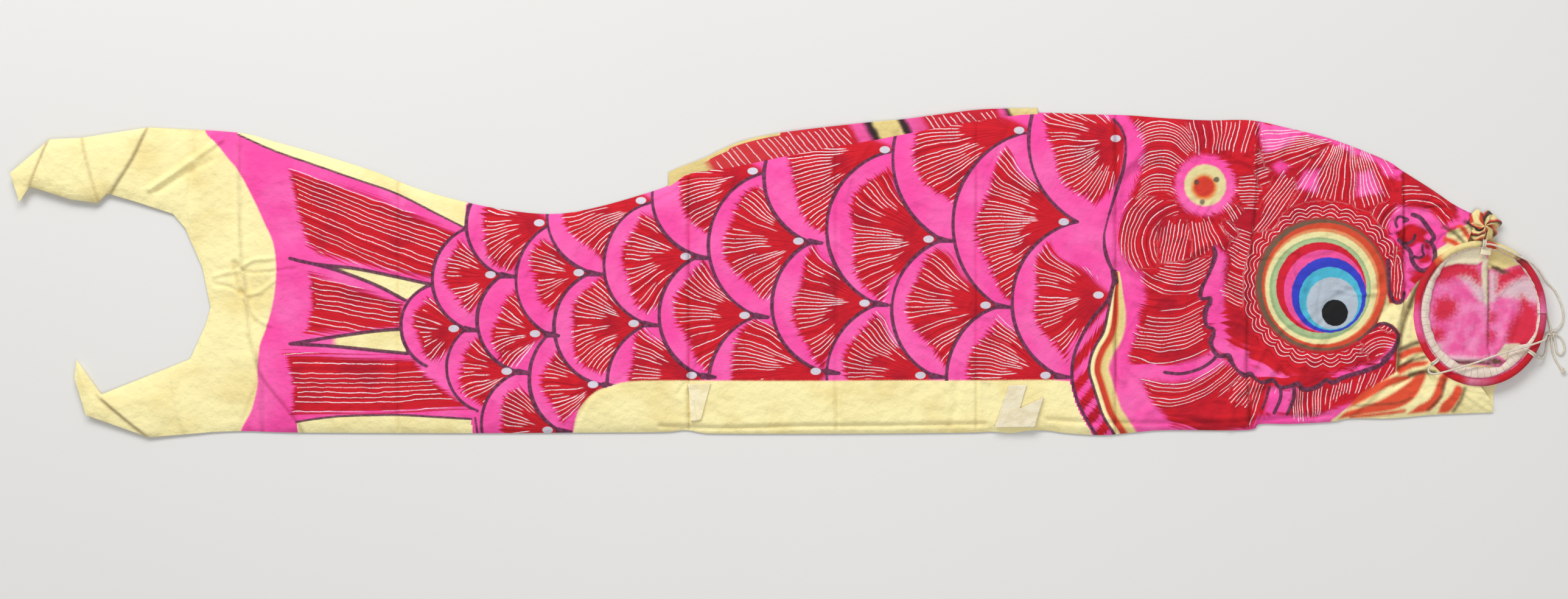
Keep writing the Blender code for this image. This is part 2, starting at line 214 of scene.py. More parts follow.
# ---------------------------------------------------------------- painting
# Each scale is a dot, with the top, the leftmost point and the foot of the arc on its left
SCALES = (
    ((-239, 49), (-290, 90), (-311, 50), (-275, -3)),
    ((-139, 71), (-208, 104), (-231, 50), (-187, 0)),
    ((-29, 100), (-96, 130), (-128, 75), (-82, 16)),
    ((101, 121), (10, 150), (-18, 90), (29, 30)),
    ((233, 140), (130, 170), (109, 110), (158, 32)),
    ((328, 132), (262, 186), (242, 128), (291, 50)),
    ((-287, -2), (-309, 44), (-344, -5), (-310, -56)),
    ((-200, 0), (-226, 48), (-262, -5), (-230, -61)),
    ((-95, 16), (-126, 70), (-175, 12), (-133, -51)),
    ((16, 31), (-16, 99), (-72, 32), (-24, -43)),
    ((144, 33), (114, 120), (44, 45), (95, -31)),
    ((277, 50), (247, 139), (168, 50), (214, -33)),
    ((-323, -55), (-346, -12), (-375, -54), (-350, -92)),
    ((-243, -60), (-275, -3), (-300, -48), (-258, -98)),
    ((-146, -50), (-187, 0), (-224, -47), (-172, -111)),
    ((-37, -42), (-82, 16), (-121, -44), (-76, -102)),
    ((81, -30), (29, 30), (-10, -32), (46, -98)),
    ((200, -32), (158, 32), (108, -34), (150, -102)),
    ((311, -22), (291, 50), (226, -28), (273, -102)),
    ((-271, -97), (-311, -56), (-330, -94), (-300, -136)),
    ((-186, -110), (-230, -61), (-249, -104), (-218, -156)),
    ((-89, -101), (-133, -51), (-172, -108), (-136, -166)),
    ((33, -97), (-24, -43), (-72, -104), (-30, -168)),
    ((136, -101), (95, -31), (44, -98), (84, -168)),
    ((259, -101), (214, -33), (162, -98), (204, -168)),
    ((-231, -155), (-258, -98), (-296, -150), (-262, -200)),
)
TOP_DOTS = ((-239, 49), (-139, 71), (-29, 100), (101, 121), (233, 140), (328, 132))  # by the back seam
DOT_SIZE = (5.2, 3.5)
FAN_PITCH = 4.4  # between the white strokes at the outer end of a scale's fan
FAN_SPREAD = 0.80  # half the fan's angle, in radians
FAN_MARGIN = (6.0, 0.15)  # of pink beyond the fan: at least this, and this share of the scale
FAN_ORIGIN = 13.0  # the fan's sides meet this far behind the dot
STROKE_ORIGIN = 5.0  # the white strokes meet this far behind the dot
STROKE_WANDER = 0.22  # of the strokes on the head, as a share of their pitch


def on_arc(x, y, centre_x, centre_y, radius, top, foot):
    """Distance from a scale's arc, which ends at its top and its foot."""
    away = np.hypot(x - centre_x, y - centre_y)
    last = min(centre_x, max(top[0], foot[0]) + 1.5)
    beside = (y <= top[1]) & (y >= foot[1]) & (x < last)
    to_ends = np.minimum(
        np.hypot(x - top[0], y - top[1]), np.hypot(x - foot[0], y - foot[1])
    )
    return np.where(beside, np.abs(away - radius), to_ends), away - radius


def paint_scales(x, y, art):
    """The overlapping scales, each with its outline, its red fan, white strokes and dot."""
    order = sorted(SCALES, key=lambda scale: scale[2][0])
    owner = np.full(x.shape, -1)
    arcs = []
    for index, (dot, top, left, foot) in enumerate(order):
        circle = circle_through(top, left, foot)
        line, beyond = on_arc(x, y, *circle, top, foot)
        arcs.append(line)
        past_arc = (beyond < 0.0) | (x > circle[0])
        owner[past_arc & (y <= top[1]) & (y >= foot[1])] = index
    art["owner"][:] = owner
    for index, (dot, top, left, foot) in enumerate(order):
        mine = owner == index
        others = [arcs[index]] + arcs[index + 1:]
        line = np.min([arc[mine] for arc in others], axis=0)
        thickness = 1.75 + 0.45 * wavy(x[mine], y[mine], 40.0, index)
        art["ink"][mine] = np.minimum(art["ink"][mine], line - thickness)
        dx, dy = x[mine] - dot[0], y[mine] - dot[1]
        out = np.hypot(dx, dy)
        reach = math.hypot(dot[0] - left[0], 0.4 * (dot[1] - left[1]))
        fan = reach - (FAN_MARGIN[0] + FAN_MARGIN[1] * reach)
        turned = np.arctan2(dy, STROKE_ORIGIN - dx)
        uneven = 1.0 + 0.05 * np.sin(3.0 * turned + index) + 0.04 * np.sin(7.0 * turned + 2.0 * index)
        axis = math.atan2(left[1] - dot[1], dot[0] - left[0]) - 0.05
        beside = np.abs(np.arctan2(dy, FAN_ORIGIN - dx) - axis)
        wedge = (FAN_SPREAD + 0.06 * np.sin(out / 9.0 + index) - beside) * np.hypot(dx - FAN_ORIGIN, dy)
        art["red"][mine] = np.minimum(fan * uneven - out, wedge)
        density = fan / FAN_PITCH
        art["phase"][mine] = (
            turned * density + 40.0 * index
            + 0.4 * np.sin(out / 17.0 + index) + 0.3 * np.sin(turned * 4.0 + out / 9.0 + index)
        )
        art["pitch"][mine] = np.maximum(out, 6.0) / density
        inner = 0.46 + 0.1 * np.sin(turned * 5.0 + index)
        strokes = np.minimum(fan * uneven - out - 0.5, (out - inner * fan) * 0.32)
        art["strokes"][mine] = np.minimum(strokes, wedge + 2.0)
    bare = owner < 0
    art["ink"][bare] = np.min([arc[bare] for arc in arcs[:len(TOP_DOTS)]], axis=0) - 1.6
    for index, (dot, top, left, foot) in enumerate(order):
        stub = np.array([(dot[0] + 11.0, dot[1] - 0.5), (dot[0] + 23.0, dot[1] - 2.0)])
        if stub[1][0] < 300.0 and dot not in TOP_DOTS:
            width = 3.4 - 0.13 * np.clip(x - stub[0][0], 0.0, 12.0)
            art["ink"] = np.minimum(art["ink"], distance_to(x, y, stub) - width)
        lean = (x - dot[0]) / DOT_SIZE[0], (y - dot[1]) / DOT_SIZE[1]
        art["dot"] = np.maximum(art["dot"], (1.0 - np.hypot(*lean)) * DOT_SIZE[1])


# Where plain cream cloth gives way to paint at the tail, and along the belly
TAIL_PAINT = (
    (-568, 160), (-568, 139), (-557, 127), (-545, 112), (-535, 100), (-520, 72), (-510, 50),
    (-501, 30), (-498, 10), (-498, -5), (-501, -30), (-508, -55), (-514, -72), (-516, -95),
    (-516, -110), (-522, -135), (-533, -155), (-536, -175),
)
BELLY_PAINT = (
    (-206, -175), (-206, -158), (-200, -135), (-185, -118), (-170, -112), (-150, -107), (-100, -106),
    (0, -106.5), (100, -106), (200, -106), (286, -107), (290, -125), (298, -142), (312, -175),
)
TOP_STRIP = (
    (-536, 136), (-500, 120), (-460, 106), (-420, 92), (-380, 78), (-340, 58), (-312, 44),
)
BOTTOM_STRIP = (
    (-478, -147), (-460, -144), (-430, -141), (-380, -140), (-340, -142), (-306, -144),
)
STRIP_LINES = (  # ink along the strips, with half its width
    (TOP_STRIP, 1.1), (BOTTOM_STRIP, 1.2),
    (((-309, 66), (-311, 44)), 1.5), (((-302, -143), (-300, -160)), 1.2),
)
# Bundles of rays that run along the rear: outline, then the slope of their strokes
RAY_PITCH, RAY_MIDDLE = 4.7, 400.0
RAY_BUNDLES = (
    (((-484, 101), (-460, 93), (-400, 73), (-318, 38), (-316, 30), (-330, 10), (-345, -6),
      (-400, 6), (-455, 18), (-466, 28), (-476, 60)), (-0.36, -0.10, 60.0)),
    (((-464, -1), (-440, -9), (-420, -15), (-400, -21), (-374, -31), (-374, -52), (-400, -56),
      (-440, -59), (-468, -59), (-462, -35)), (-0.16, 0.05, -28.0)),
    (((-488, -79), (-460, -81), (-420, -84), (-362, -86), (-356, -96), (-330, -118), (-308, -132),
      (-360, -136), (-420, -137), (-482, -139), (-480, -112)), (0.02, 0.03, -110.0)),
)
# Cream wedges between the bundles: the tip, then the upper and the lower edge
WEDGES = (
    ((-484, 14), ((-460, 8.5), (-420, 4), (-380, -4), (-346, -11.5)),
     ((-440, 3), (-400, -12), (-371, -27))),
    ((-484, -70), ((-440, -63), (-400, -57.5), (-374, -55.5)),
     ((-440, -72.5), (-400, -76.5), (-369, -79.5))),
)
GILL_OUTER = (
    (326, -8), (322, -22), (318, -30), (305, -45), (295, -62), (288, -78), (285, -95), (286, -110),
    (290, -125), (297, -140), (306, -155), (314, -168),
)
GILL_INNER = (
    (328, 2), (327, -8), (324, -20), (320, -40), (316, -58), (308, -72), (303, -85), (302, -98),
    (306, -112), (311, -128), (316, -142), (325, -156), (333, -168),
)
GILL_TOP = ((326, 1), (327.5, -9))
SCALES_END = (
    (338, 175), (338, 150), (339, 125), (336, 106), (331, 92), (327, 78), (324, 55), (324, 30),
    (328, 4),
)
COLLAR_LINE = (  # ink line from the last dot down to the gill, where the scales end
    (326, 151), (333, 143), (338, 129), (337, 111), (332, 90), (324, 66), (318, 44), (316.5, 34),
    (317.5, 23), (321, 11), (325, 2),
)
COLLAR_RED = (
    (306, 152), (326, 151), (334, 142), (337.5, 127), (336, 108), (331, 92), (325, 84), (315, 74),
    (307, 67), (300, 74), (296, 92), (306, 112),
)
COLLAR_BARE = (100.0, 327.0)  # the white strokes stay below and behind these
HEAD_LEFT = (
    (338, 175), (340, 155), (350, 142), (356, 128), (354, 104), (346, 84), (337, 62), (332, 45),
    (331, 30), (336, 14), (346, 4), (355, -2), (356, -16), (358, -26), (352, -38), (350, -55),
    (345, -70), (341, -84), (345, -91),
)
CHEEK_LINE = (
    (424, 25), (425.5, 18), (423, 8), (419, -2), (414, -12), (411.5, -22), (413.5, -26), (420.5, -25),
    (420, -30), (416.5, -36), (416, -46), (418.5, -53), (424, -55), (424, -61), (421.5, -68),
    (424, -76), (430, -82), (438.5, -81.5), (441.5, -87), (447, -95), (455, -101), (461, -99.5),
    (465, -104), (472, -108), (483, -106), (488, -112), (497, -112.5), (507, -109), (511, -114),
    (520, -114.5), (529, -110), (535, -105), (541, -108), (552, -103), (565, -99), (580, -94),
    (592, -88), (603, -73), (607, -62),
)
PINK_BAND_INNER = (
    (604, -66), (588, -84), (570, -92), (545, -99), (515, -106), (495, -101), (478, -93), (462, -87),
    (457, -76), (441, -70), (436, -50), (434, -25), (436, 0), (437, 16), (425, 26),
)
# Groups of white strokes on the head: how they run, numbers that place them, their outline.
# lines: heading in degrees and pitch. rays: centre and strokes in a radian. rings: centre and pitch.
# arches: middle, bend and pitch of lines that curve up or down.
HEAD_STROKES = (
    ("arches", (372, 0.02, 3.3), ((350, 151), (376, 151), (398, 145), (406, 128), (400, 112),
                                  (390, 106), (386, 96), (385, 82), (388, 72), (372, 78), (356, 74),
                                  (344, 62), (350, 84), (355, 100), (350, 108), (352, 132), (346, 144))),
    ("rays", (424, 30, 27.0), ((398, 147), (420, 150), (467, 150), (468, 128), (455, 119), (438, 117),
                               (420, 119), (404, 120))),
    ("lines", (0, 3.2), ((447, 94), (467, 95), (470, 75), (464, 60), (452, 66), (447, 78))),
    ("lines", (22, 2.7), ((466, 84), (480, 88), (478, 112), (466, 120))),
    ("rays", (395, 110, 21.0), ((399, 52), (431, 51), (440, 28), (425, 24), (418, 16), (404, 16))),
    ("lines", (-38, 3.6), ((430, 50), (443, 48), (458, 38), (452, 29), (440, 32), (432, 42))),
    ("lines", (-60, 2.5), ((431, 60), (440, 68), (452, 60), (440, 51))),
    ("rings", (395, 28, 3.5), ((334, 52), (342, 70), (356, 77), (372, 70), (388, 68), (389, 58),
                               (374, 54), (370, 40), (369, 24), (368, 9), (352, 4), (341, 6),
                               (335, 20), (331, 38))),
    ("lines", (78, 3.4), ((369, 45), (384, 50), (400, 46), (402, 14), (372, 10))),
    ("arches", (388, -0.012, 3.4), ((378, 13), (424, 16), (420, 0), (415, -10), (412, -21), (400, -20),
                                    (376, -20), (357, -13), (352, 3), (366, 1))),
    ("arches", (372, -0.0065, 3.6), ((388, -32), (413, -26), (414, -45), (417, -58), (417, -76),
                                     (405, -84), (385, -89), (343, -87), (345, -66), (354, -48))),
    ("arches", (380, -0.008, 3.5), ((354, -105), (385, -109), (410, -103), (437, -88), (454, -101),
                                    (446, -110), (432, -118), (415, -127), (400, -135), (372, -134),
                                    (362, -122))),
    ("lines", (45, 3.2), ((440, -108), (458, -101), (458, -128), (443, -129))),
    ("lines", (72, 3.2), ((459, -112), (466, -103), (484, -113), (474, -130), (469, -149), (460, -148))),
    ("lines", (-23, 3.5), ((444, 48), (462, 44), (461, 20), (458, 0), (457, -33), (440, -32), (432, -20),
                           (439, 0), (439, 22))),
    ("lines", (54, 3.2), ((462, 40), (475, 37), (489, 40), (498, 64), (513, 80), (501, 94), (487, 97),
                          (474, 70))),
    ("rays", (590, 145, 36.0), ((470, 142), (505, 140), (530, 134), (540, 127), (524, 116), (508, 110),
                                (484, 103), (468, 98))),
    ("rays", (560, 160, 22.0), ((496, 63), (527, 71), (563, 71), (563, 123), (546, 128), (536, 124),
                                (520, 112), (506, 97))),
    ("rays", (560, 160, 22.0), ((562, 62), (590, 66), (600, 94), (588, 113), (566, 120))),
    ("rays", (515, -260, 55.0), ((504, -116), (525, -113), (552, -106), (577, -99), (601, -92),
                                 (600, -99), (585, -110), (560, -120), (545, -126), (522, -142),
                                 (505, -143))),
    ("rings", (592, -94, 3.2), ((560, -80), (574, -62), (588, -51), (601, -57), (606, -67),
                                (597, -79), (585, -86))),
    ("rings", (622, 30, 3.6), ((612, 66), (612, 84), (632, 80), (652, 66), (658, 50), (650, 47),
                               (640, 60), (625, 66))),
    ("rings", (622, 38, 3.4), ((584, 72), (606, 64), (598, 56), (594, 42), (586, 44), (580, 56))),
    ("lines", (88, 3.3), ((596, 28), (608, 24), (611, -18), (605, -27), (598, -20))),
)
CHIN_RED = (
    (352, -102), (385, -107.5), (412, -102), (434, -89), (447, -94), (465, -103), (484, -108),
    (500, -113), (540, -109), (580, -95), (604, -72), (604, -98), (583, -112), (562, -128),
    (540, -146), (480, -139), (469, -152), (420, -158), (385, -150), (368, -132), (360, -120),
)
FLOWER_CENTRE = (416.0, 86.0)
FLOWER_HALO = 30.0  # the radius of the pink round the flower
EYE_CENTRE = (532.0, -13.0)
SCALLOP_REACH = (66.5, 84.0)  # how far from the eye's centre the scallops start and end
SCALLOP_TURN = 0.225  # the angle that each takes up, in radians
SCALLOP_RISE, SCALLOP_PITCH = 3.8, 3.9
SCALLOP_GAP = 0.28  # half the angle that has none, towards the mouth, in radians
RING_FROM, CHEEK_FROM, LIPS_FROM = 440.0, 405.0, 530.0  # x, where each part of the drawing starts
PINK_PATCHES = (
    ((468, 150), (530, 138), (575, 120), (600, 108), (611, 101), (606, 95), (592, 99), (585, 108),
     (560, 118), (540, 128), (512, 136), (500, 127), (476, 116), (471, 125)),
    ((506, 83), (527, 79), (528, 102), (514, 99)),
    ((482, 105), (490, 96), (499, 104), (490, 111)),
    ((565, 75), (589, 78), (580, 101), (566, 97)),
    ((588, 113), (611, 101), (608, 92), (591, 97)),
    ((650, 42), (681, 50), (676, 66), (664, 66), (668, 58), (654, 48)),
    ((346, -91), (380, -93), (408, -85), (424, -77), (430, -83), (446, -91), (434, -90), (412, -103),
     (385, -108), (356, -105), (340, -106), (338, -92)),
    ((470, -140), (500, -141), (523, -142), (560, -128), (560, -150), (500, -155), (462, -152)),
    ((479, -112), (504, -114), (497, -138), (474, -138)),
    ((604, 66), (636, 62), (648, 50), (656, 38), (653, 28), (643, 21), (640, 4), (628, 1), (617, -1),
     (622, -12), (612, -30), (610, -24), (612, 0), (611, 26), (598, 32), (596, 50)),
)
HEAD_LINES = (  # ink lines on the head, with half their width
    (((376, -98), (390, -99.5), (402, -97.5), (414, -93), (424, -86), (428, -80)), 1.7),
    (((490, -112), (490, -124), (484, -138)), 1.8),
    (((503, -114), (503, -124), (497, -139)), 1.8),
    (((480, -112), (476, -124), (472, -134)), 1.2),
    (((604, 45), (603, 50), (606, 55), (611, 54), (615, 52), (611, 50)), 1.5),
    (((620, 57), (627, 54), (633, 47), (638, 40), (640.5, 34), (638, 29.5), (641, 24), (642, 16),
      (640, 8), (636, 4), (629, 2), (623, 6), (619, 13), (617, 21), (611, 27), (606, 32)), 2.3),
    (((632, 31), (638, 29.5)), 1.4),
    (((622, 37), (621, 33), (617, 29.5), (613, 29)), 1.6),
    (((629, 27), (629.5, 21), (631, 17), (626, 14.5), (621, 16)), 1.4),
    (((596, 12), (597, -6), (598, -20), (603, -29), (609, -28), (612, -20)), 1.9),
    (((566, -66), (578, -56), (590, -50), (599, -53), (606, -62), (604, -72), (590, -86)), 1.8),
)
NOSTRIL = (
    (604, 39), (609, 45), (615, 48), (622, 47), (629, 43), (633, 38), (632, 33), (635, 29), (638, 23),
    (638, 16), (634, 10), (628, 8), (624, 11), (630, 15), (632, 20), (630, 28), (624, 29), (618, 24),
    (611, 27), (606, 33),
)
NOSTRIL_CORE = ((620, 21), (624, 25), (628, 28), (630, 22), (628, 18), (622, 18))
LIP_CLOTH = (
    (540, -146), (562, -128), (583, -112), (603, -98), (605, -76), (609, -60), (600, -51),
    (586, -49), (590, -38), (593, -18), (598, -30), (608, -31), (614, -26), (624, -10), (640, 3),
    (640, 18), (646, 24), (653, 28), (653, 39), (680, 50), (690, 62), (760, 62), (760, -150),
    (560, -150),
)
LIP_PATCHES = (  # warm patches on the lips
    ((548, -144), (575, -139), (600, -135), (616, -128), (626, -117), (633, -99), (626, -98),
     (616, -108), (600, -119), (585, -127), (568, -133), (555, -137)),
    ((556, -134), (575, -124), (592, -114), (607, -108), (618, -104), (612, -101), (596, -104),
     (580, -112), (566, -122)),
    ((616, -139), (636, -136), (646, -126), (651, -112), (655, -101), (648, -100), (643, -112),
     (637, -124), (626, -131)),
    ((646, -138), (656, -137), (664, -127), (669, -115), (663, -111), (657, -121), (649, -129)),
    ((607, -86), (620, -80), (634, -77), (636, -72), (622, -73), (608, -78)),
    ((606, -101), (618, -94), (632, -91), (634, -87), (618, -88), (606, -93)),
)
LIP_STRIPES = (  # warm stripes on the lips, with half their width
    (((560, -142), (590, -139), (612, -136)), 1.6),
    (((648, 33), (660, 30), (672, 20)), 2.6),
    (((656, 52), (668, 44), (676, 34)), 2.4),
)
LIP_DARKS = (  # soft shadows beside the folds of the lips, with half their width
    (((563, -131), (590, -129.5), (608, -127.5), (619, -123)), 0.6),
    (((636, -135), (648, -121), (651, -106)), 1.4),
    (((661, -136), (667, -126), (671, -114)), 1.6),
    (((631, -6), (623, -18), (617, -34)), 2.6),
    (((617, -34), (611, -52), (607, -72), (606, -92)), 1.5),
    (((607, -76), (618, -71), (630, -67)), 2.4),
    (((607, -92), (621, -86), (635, -82)), 1.6),
    (((617, -101), (630, -98), (641, -98)), 2.2),
    (((650, 45), (662, 38), (672, 28)), 1.6),
    (((672, 50), (679, 44), (682, 36)), 1.8),
)


def side_of(x, y, line, far_point_a, far_point_b):
    """Distance from a line, positive on the side of the two far points and negative opposite."""
    area = np.vstack([line, [far_point_b, far_point_a]])
    inside = depth_in(x, y, area) > 0.0
    gap = distance_to(x, y, line)
    return np.where(inside, gap, -gap)


def paint_rear(x, y, art):
    """The cream tail, the strips along the edges, the ray bundles and the wedges between them."""
    zone = (x < -255.0) & (art["owner"] < 0)
    red = np.full(x.shape, -FAR_AWAY)
    for outline, (slope, spread, middle) in RAY_BUNDLES:
        inside = depth_in(x, y, outline)
        mine = zone & (inside > -6.0)
        red = np.maximum(red, inside)
        run = x + RAY_MIDDLE
        across = (y - middle - slope * run) / (1.0 + spread * -(run / 100.0))
        art["phase"][mine] = across[mine] / RAY_PITCH + 0.2 * np.sin(x[mine] / 23.0)
        art["pitch"][mine] = RAY_PITCH
        art["strokes"][mine] = inside[mine] - 0.5
    art["red"][zone] = red[zone]
    cream = side_of(x, y, smooth_line(TAIL_PAINT), (-900, 160), (-900, -175))
    top = side_of(x, y, smooth_line(TOP_STRIP), (-560, 190), (-300, 190))
    top = np.minimum(top, -309.0 - x)
    bottom = side_of(x, y, smooth_line(BOTTOM_STRIP), (-478, -190), (-300, -190))
    bottom = np.minimum(bottom, np.minimum(-303.0 - x, x + 478.0))
    art["cream"] = np.maximum.reduce([art["cream"], cream, top, bottom])
    left = x < -290.0
    for line, half in STRIP_LINES:
        gap = distance_to(x, y, smooth_line(line)) - half
        art["ink"][left] = np.minimum(art["ink"][left], gap[left])
    for tip, upper, lower in WEDGES:
        upper_line, lower_line = smooth_line((tip,) + upper), smooth_line((tip,) + lower)
        closed = np.vstack([upper_line, lower_line[::-1]])
        inside = depth_in(x, y, closed)
        open_part = zone & (inside > -4.0)
        art["cream"][open_part] = np.maximum(
            art["cream"][open_part], np.minimum(inside, (x + 440.0) * 0.25)[open_part]
        )
        gap = np.minimum(distance_to(x, y, upper_line), distance_to(x, y, lower_line)) - 1.8
        art["ink"][zone] = np.minimum(art["ink"][zone], gap[zone])


def paint_belly_and_gill(x, y, art):
    belly = depth_in(x, y, smooth_line(BELLY_PAINT, 3))
    art["cream"] = np.maximum(art["cream"], belly)
    art["ink"] = np.where(belly > 0.6, FAR_AWAY, art["ink"])
    art["strokes"] = np.where(belly > -1.0, -FAR_AWAY, art["strokes"])
    outer = smooth_line(GILL_OUTER)
    inner = smooth_line(GILL_INNER)
    past_outer = side_of(x, y, outer, (460, 2), (460, -190))
    past_inner = side_of(x, y, inner, (460, 2), (460, -190))
    stripe = (past_outer > -1.5) & (past_inner < 1.5) & (y < 2.0)
    patch = np.sin((y - 1.2 * x) / 3.9) * 5.0 + 1.0
    art["red"] = np.where(stripe, patch, art["red"])
    art["cream"] = np.where(stripe | (past_inner > 0.0) & (x < 420.0), -FAR_AWAY, art["cream"])
    art["strokes"] = np.where(stripe | (past_inner > 0.0), -FAR_AWAY, art["strokes"])
    art["ink"] = np.where(stripe | (past_inner > 0.0) & (x < 420.0), FAR_AWAY, art["ink"])
    low = y < 4.0
    for line, half in ((outer, 1.7), (inner, 1.5), (GILL_TOP, 3.4)):
        art["ink"] = np.where(low, np.minimum(art["ink"], distance_to(x, y, line) - half), art["ink"])
    narrow = 0.15 + 0.85 * soft_step(4.0 - y, -8.0, 58.0)
    art["gill"] = np.where((past_inner > 0.0) & (y < 4.0), past_inner / narrow, FAR_AWAY)


def stroke_phase(kind, numbers, x, y):
    """Which stroke of a group each point is by, counted across them, and how far apart they are."""
    pitch = numbers[-1]
    if kind == "lines":
        heading = math.radians(numbers[0])
        return (y * math.cos(heading) - x * math.sin(heading)) / pitch, pitch
    if kind == "arches":
        middle, bend, _ = numbers
        return (y + bend * (x - middle) ** 2) / pitch, pitch
    dx, dy = x - numbers[0], y - numbers[1]
    if kind == "rays":
        turn = math.atan2(np.mean(dy), np.mean(dx))
        across = dy * math.cos(turn) - dx * math.sin(turn)
        along = dx * math.cos(turn) + dy * math.sin(turn)
        return np.arctan2(across, along) * numbers[2], np.hypot(dx, dy) / numbers[2]
    return np.hypot(dx, dy) / pitch, pitch


def paint_head(x, y, art):
    """The head: a red ground with pink bands, groups of white strokes, nostril and lips."""
    head = side_of(x, y, smooth_line(HEAD_LEFT, 4), (800, 175), (800, -175))
    below = depth_in(x, y, CHIN_RED)
    lead = np.where((y > -91.0) | (x > 440.0), head, -FAR_AWAY)
    red = np.maximum(lead, below)
    band = depth_in(x, y, np.vstack([smooth_line(CHEEK_LINE, 4), smooth_line(PINK_BAND_INNER, 4)]))
    red = np.where((x > 400.0) & (y > -103.0), np.minimum(red, -band), red)
    for outline in PINK_PATCHES:
        red = np.minimum(red, -depth_in(x, y, outline))
    halo = np.hypot(x - FLOWER_CENTRE[0], y - FLOWER_CENTRE[1])
    red = np.minimum(red, halo - FLOWER_HALO)
    red = np.maximum(red, depth_in(x, y, rounded(NOSTRIL)))
    red = np.minimum(red, -depth_in(x, y, rounded(NOSTRIL_CORE)))
    mine = (x > 330.0) & (np.maximum(head, below) > -14.0) & (art["gill"] > 8.0) | (x > 395.0)
    mine |= (y > 4.0) & (side_of(x, y, smooth_line(SCALES_END), (800, 175), (800, 4)) > 0.0)
    art["red"][mine] = red[mine]
    art["strokes"][mine] = -FAR_AWAY
    art["ink"][mine] = FAR_AWAY
    for kind, numbers, outline in HEAD_STROKES:
        inside = depth_in(x, y, rounded(outline))
        covers = mine & (inside > np.maximum(art["strokes"], -3.0))
        if covers.any():
            phase, pitch = stroke_phase(kind, numbers, x[covers], y[covers])
            art["pitch"][covers] = pitch
            art["phase"][covers] = phase + STROKE_WANDER * wavy(x[covers], y[covers], 14.0, 5)
            art["strokes"][covers] = inside[covers]
    dx, dy = x - EYE_CENTRE[0], y - EYE_CENTRE[1]
    out, turn = np.hypot(dx, dy), np.arctan2(dy, dx)
    ring = np.minimum(out - SCALLOP_REACH[0], SCALLOP_REACH[1] - out)
    ring = np.minimum(ring, np.where(np.abs(turn) < SCALLOP_GAP, -5.0, 5.0))
    ring = np.minimum(ring, red + 1.0)
    covers = mine & (ring > np.maximum(art["strokes"], -2.0)) & (x > RING_FROM)
    arch = np.abs(np.sin(turn * math.pi / SCALLOP_TURN))
    art["phase"][covers] = (out - SCALLOP_RISE * arch)[covers] / SCALLOP_PITCH
    art["pitch"][covers] = SCALLOP_PITCH
    art["strokes"][covers] = (ring - 4.0 * soft_step(-arch, -0.16, -0.02))[covers]
    cheek = distance_to(x, y, smooth_line(CHEEK_LINE, 4)) - (2.2 + 0.6 * wavy(x, y, 12.0, 8))
    ink = np.where(x > CHEEK_FROM, cheek, FAR_AWAY)
    for line, half in HEAD_LINES:
        ink = np.minimum(ink, distance_to(x, y, smooth_line(line)) - half)
    lip = np.where(x > LIPS_FROM, depth_in(x, y, LIP_CLOTH), -FAR_AWAY)
    art["cream"] = np.maximum(art["cream"], lip)
    warm = np.full(x.shape, -FAR_AWAY)
    for line, half in LIP_STRIPES:
        warm = np.maximum(warm, half - distance_to(x, y, smooth_line(line)))
    for outline in LIP_PATCHES:
        warm = np.maximum(warm, depth_in(x, y, rounded(outline)))
    art["warm"] = np.where(lip > -4.0, warm, -FAR_AWAY)
    for line, half in LIP_DARKS:
        art["shade"] = np.maximum(art["shade"], half - distance_to(x, y, smooth_line(line)))
    art["ink"][mine] = np.minimum(art["ink"], ink)[mine]
    collar = distance_to(x, y, smooth_line(COLLAR_LINE, 4)) - 1.4 - 0.5 * wavy(x, y, 30.0, 9)
    art["ink"] = np.minimum(art["ink"], collar)
    inside = depth_in(x, y, COLLAR_RED)
    art["red"] = np.maximum(art["red"], inside)
    drawn = (y < COLLAR_BARE[0]) & (x < COLLAR_BARE[1])
    art["strokes"] = np.where(drawn, np.maximum(art["strokes"], inside - 1.0), art["strokes"])
    art["strokes"] = np.where(lip > 0.0, -FAR_AWAY, art["strokes"])


PAINT_LAYERS = ("red", "strokes", "dot", "cream", "warm", "gill", "shade")


def paint(x, y):
    """Every painted feature of the cloth, as distances in millimetres at each of its points."""
    art = {name: np.full(x.shape, -FAR_AWAY) for name in PAINT_LAYERS}
    art["ink"] = np.full(x.shape, FAR_AWAY)
    art["phase"] = np.zeros(x.shape)
    art["pitch"] = np.full(x.shape, 4.0)
    art["owner"] = np.full(x.shape, -1.0)
    paint_scales(x, y, art)
    paint_rear(x, y, art)
    paint_belly_and_gill(x, y, art)
    paint_head(x, y, art)
    del art["owner"]
    for name in art:
        if name != "phase":
            art[name] = np.clip(art[name], -FAR_AWAY, FAR_AWAY)
    return art


# ---------------------------------------------------------------- materials
def linear(value):
    """One channel of a display colour, 0 to 255, as linear light."""
    share = value / 255.0
    return share / 12.92 if share <= 0.04045 else ((share + 0.055) / 1.055) ** 2.4


def tint(red, green, blue, cover=1.0):
    return (linear(red), linear(green), linear(blue), cover)


PINK, PINK_PALE = tint(250, 78, 166), tint(253, 106, 182)
RED, RED_DEEP, RED_STAIN = tint(214, 26, 42), tint(180, 16, 34), tint(156, 12, 40)
CREAM, CREAM_DEEP = tint(254, 242, 180), tint(244, 226, 158)
WARM = tint(230, 84, 54)
INK, INK_PALE = tint(72, 40, 58), tint(116, 62, 90)
CHALK = tint(246, 234, 240)
SHADE = tint(84, 62, 44)
LILAC = tint(214, 208, 220)
# the colour of wear and painted shade along creases, in hollows and beside overlapping folds
CREASE_WEAR_AND_SHADE = tint(138, 108, 104)
NATURAL = tint(232, 224, 208)
FLOOR, FLOOR_PALE = tint(227, 226, 224), tint(231, 230, 228)

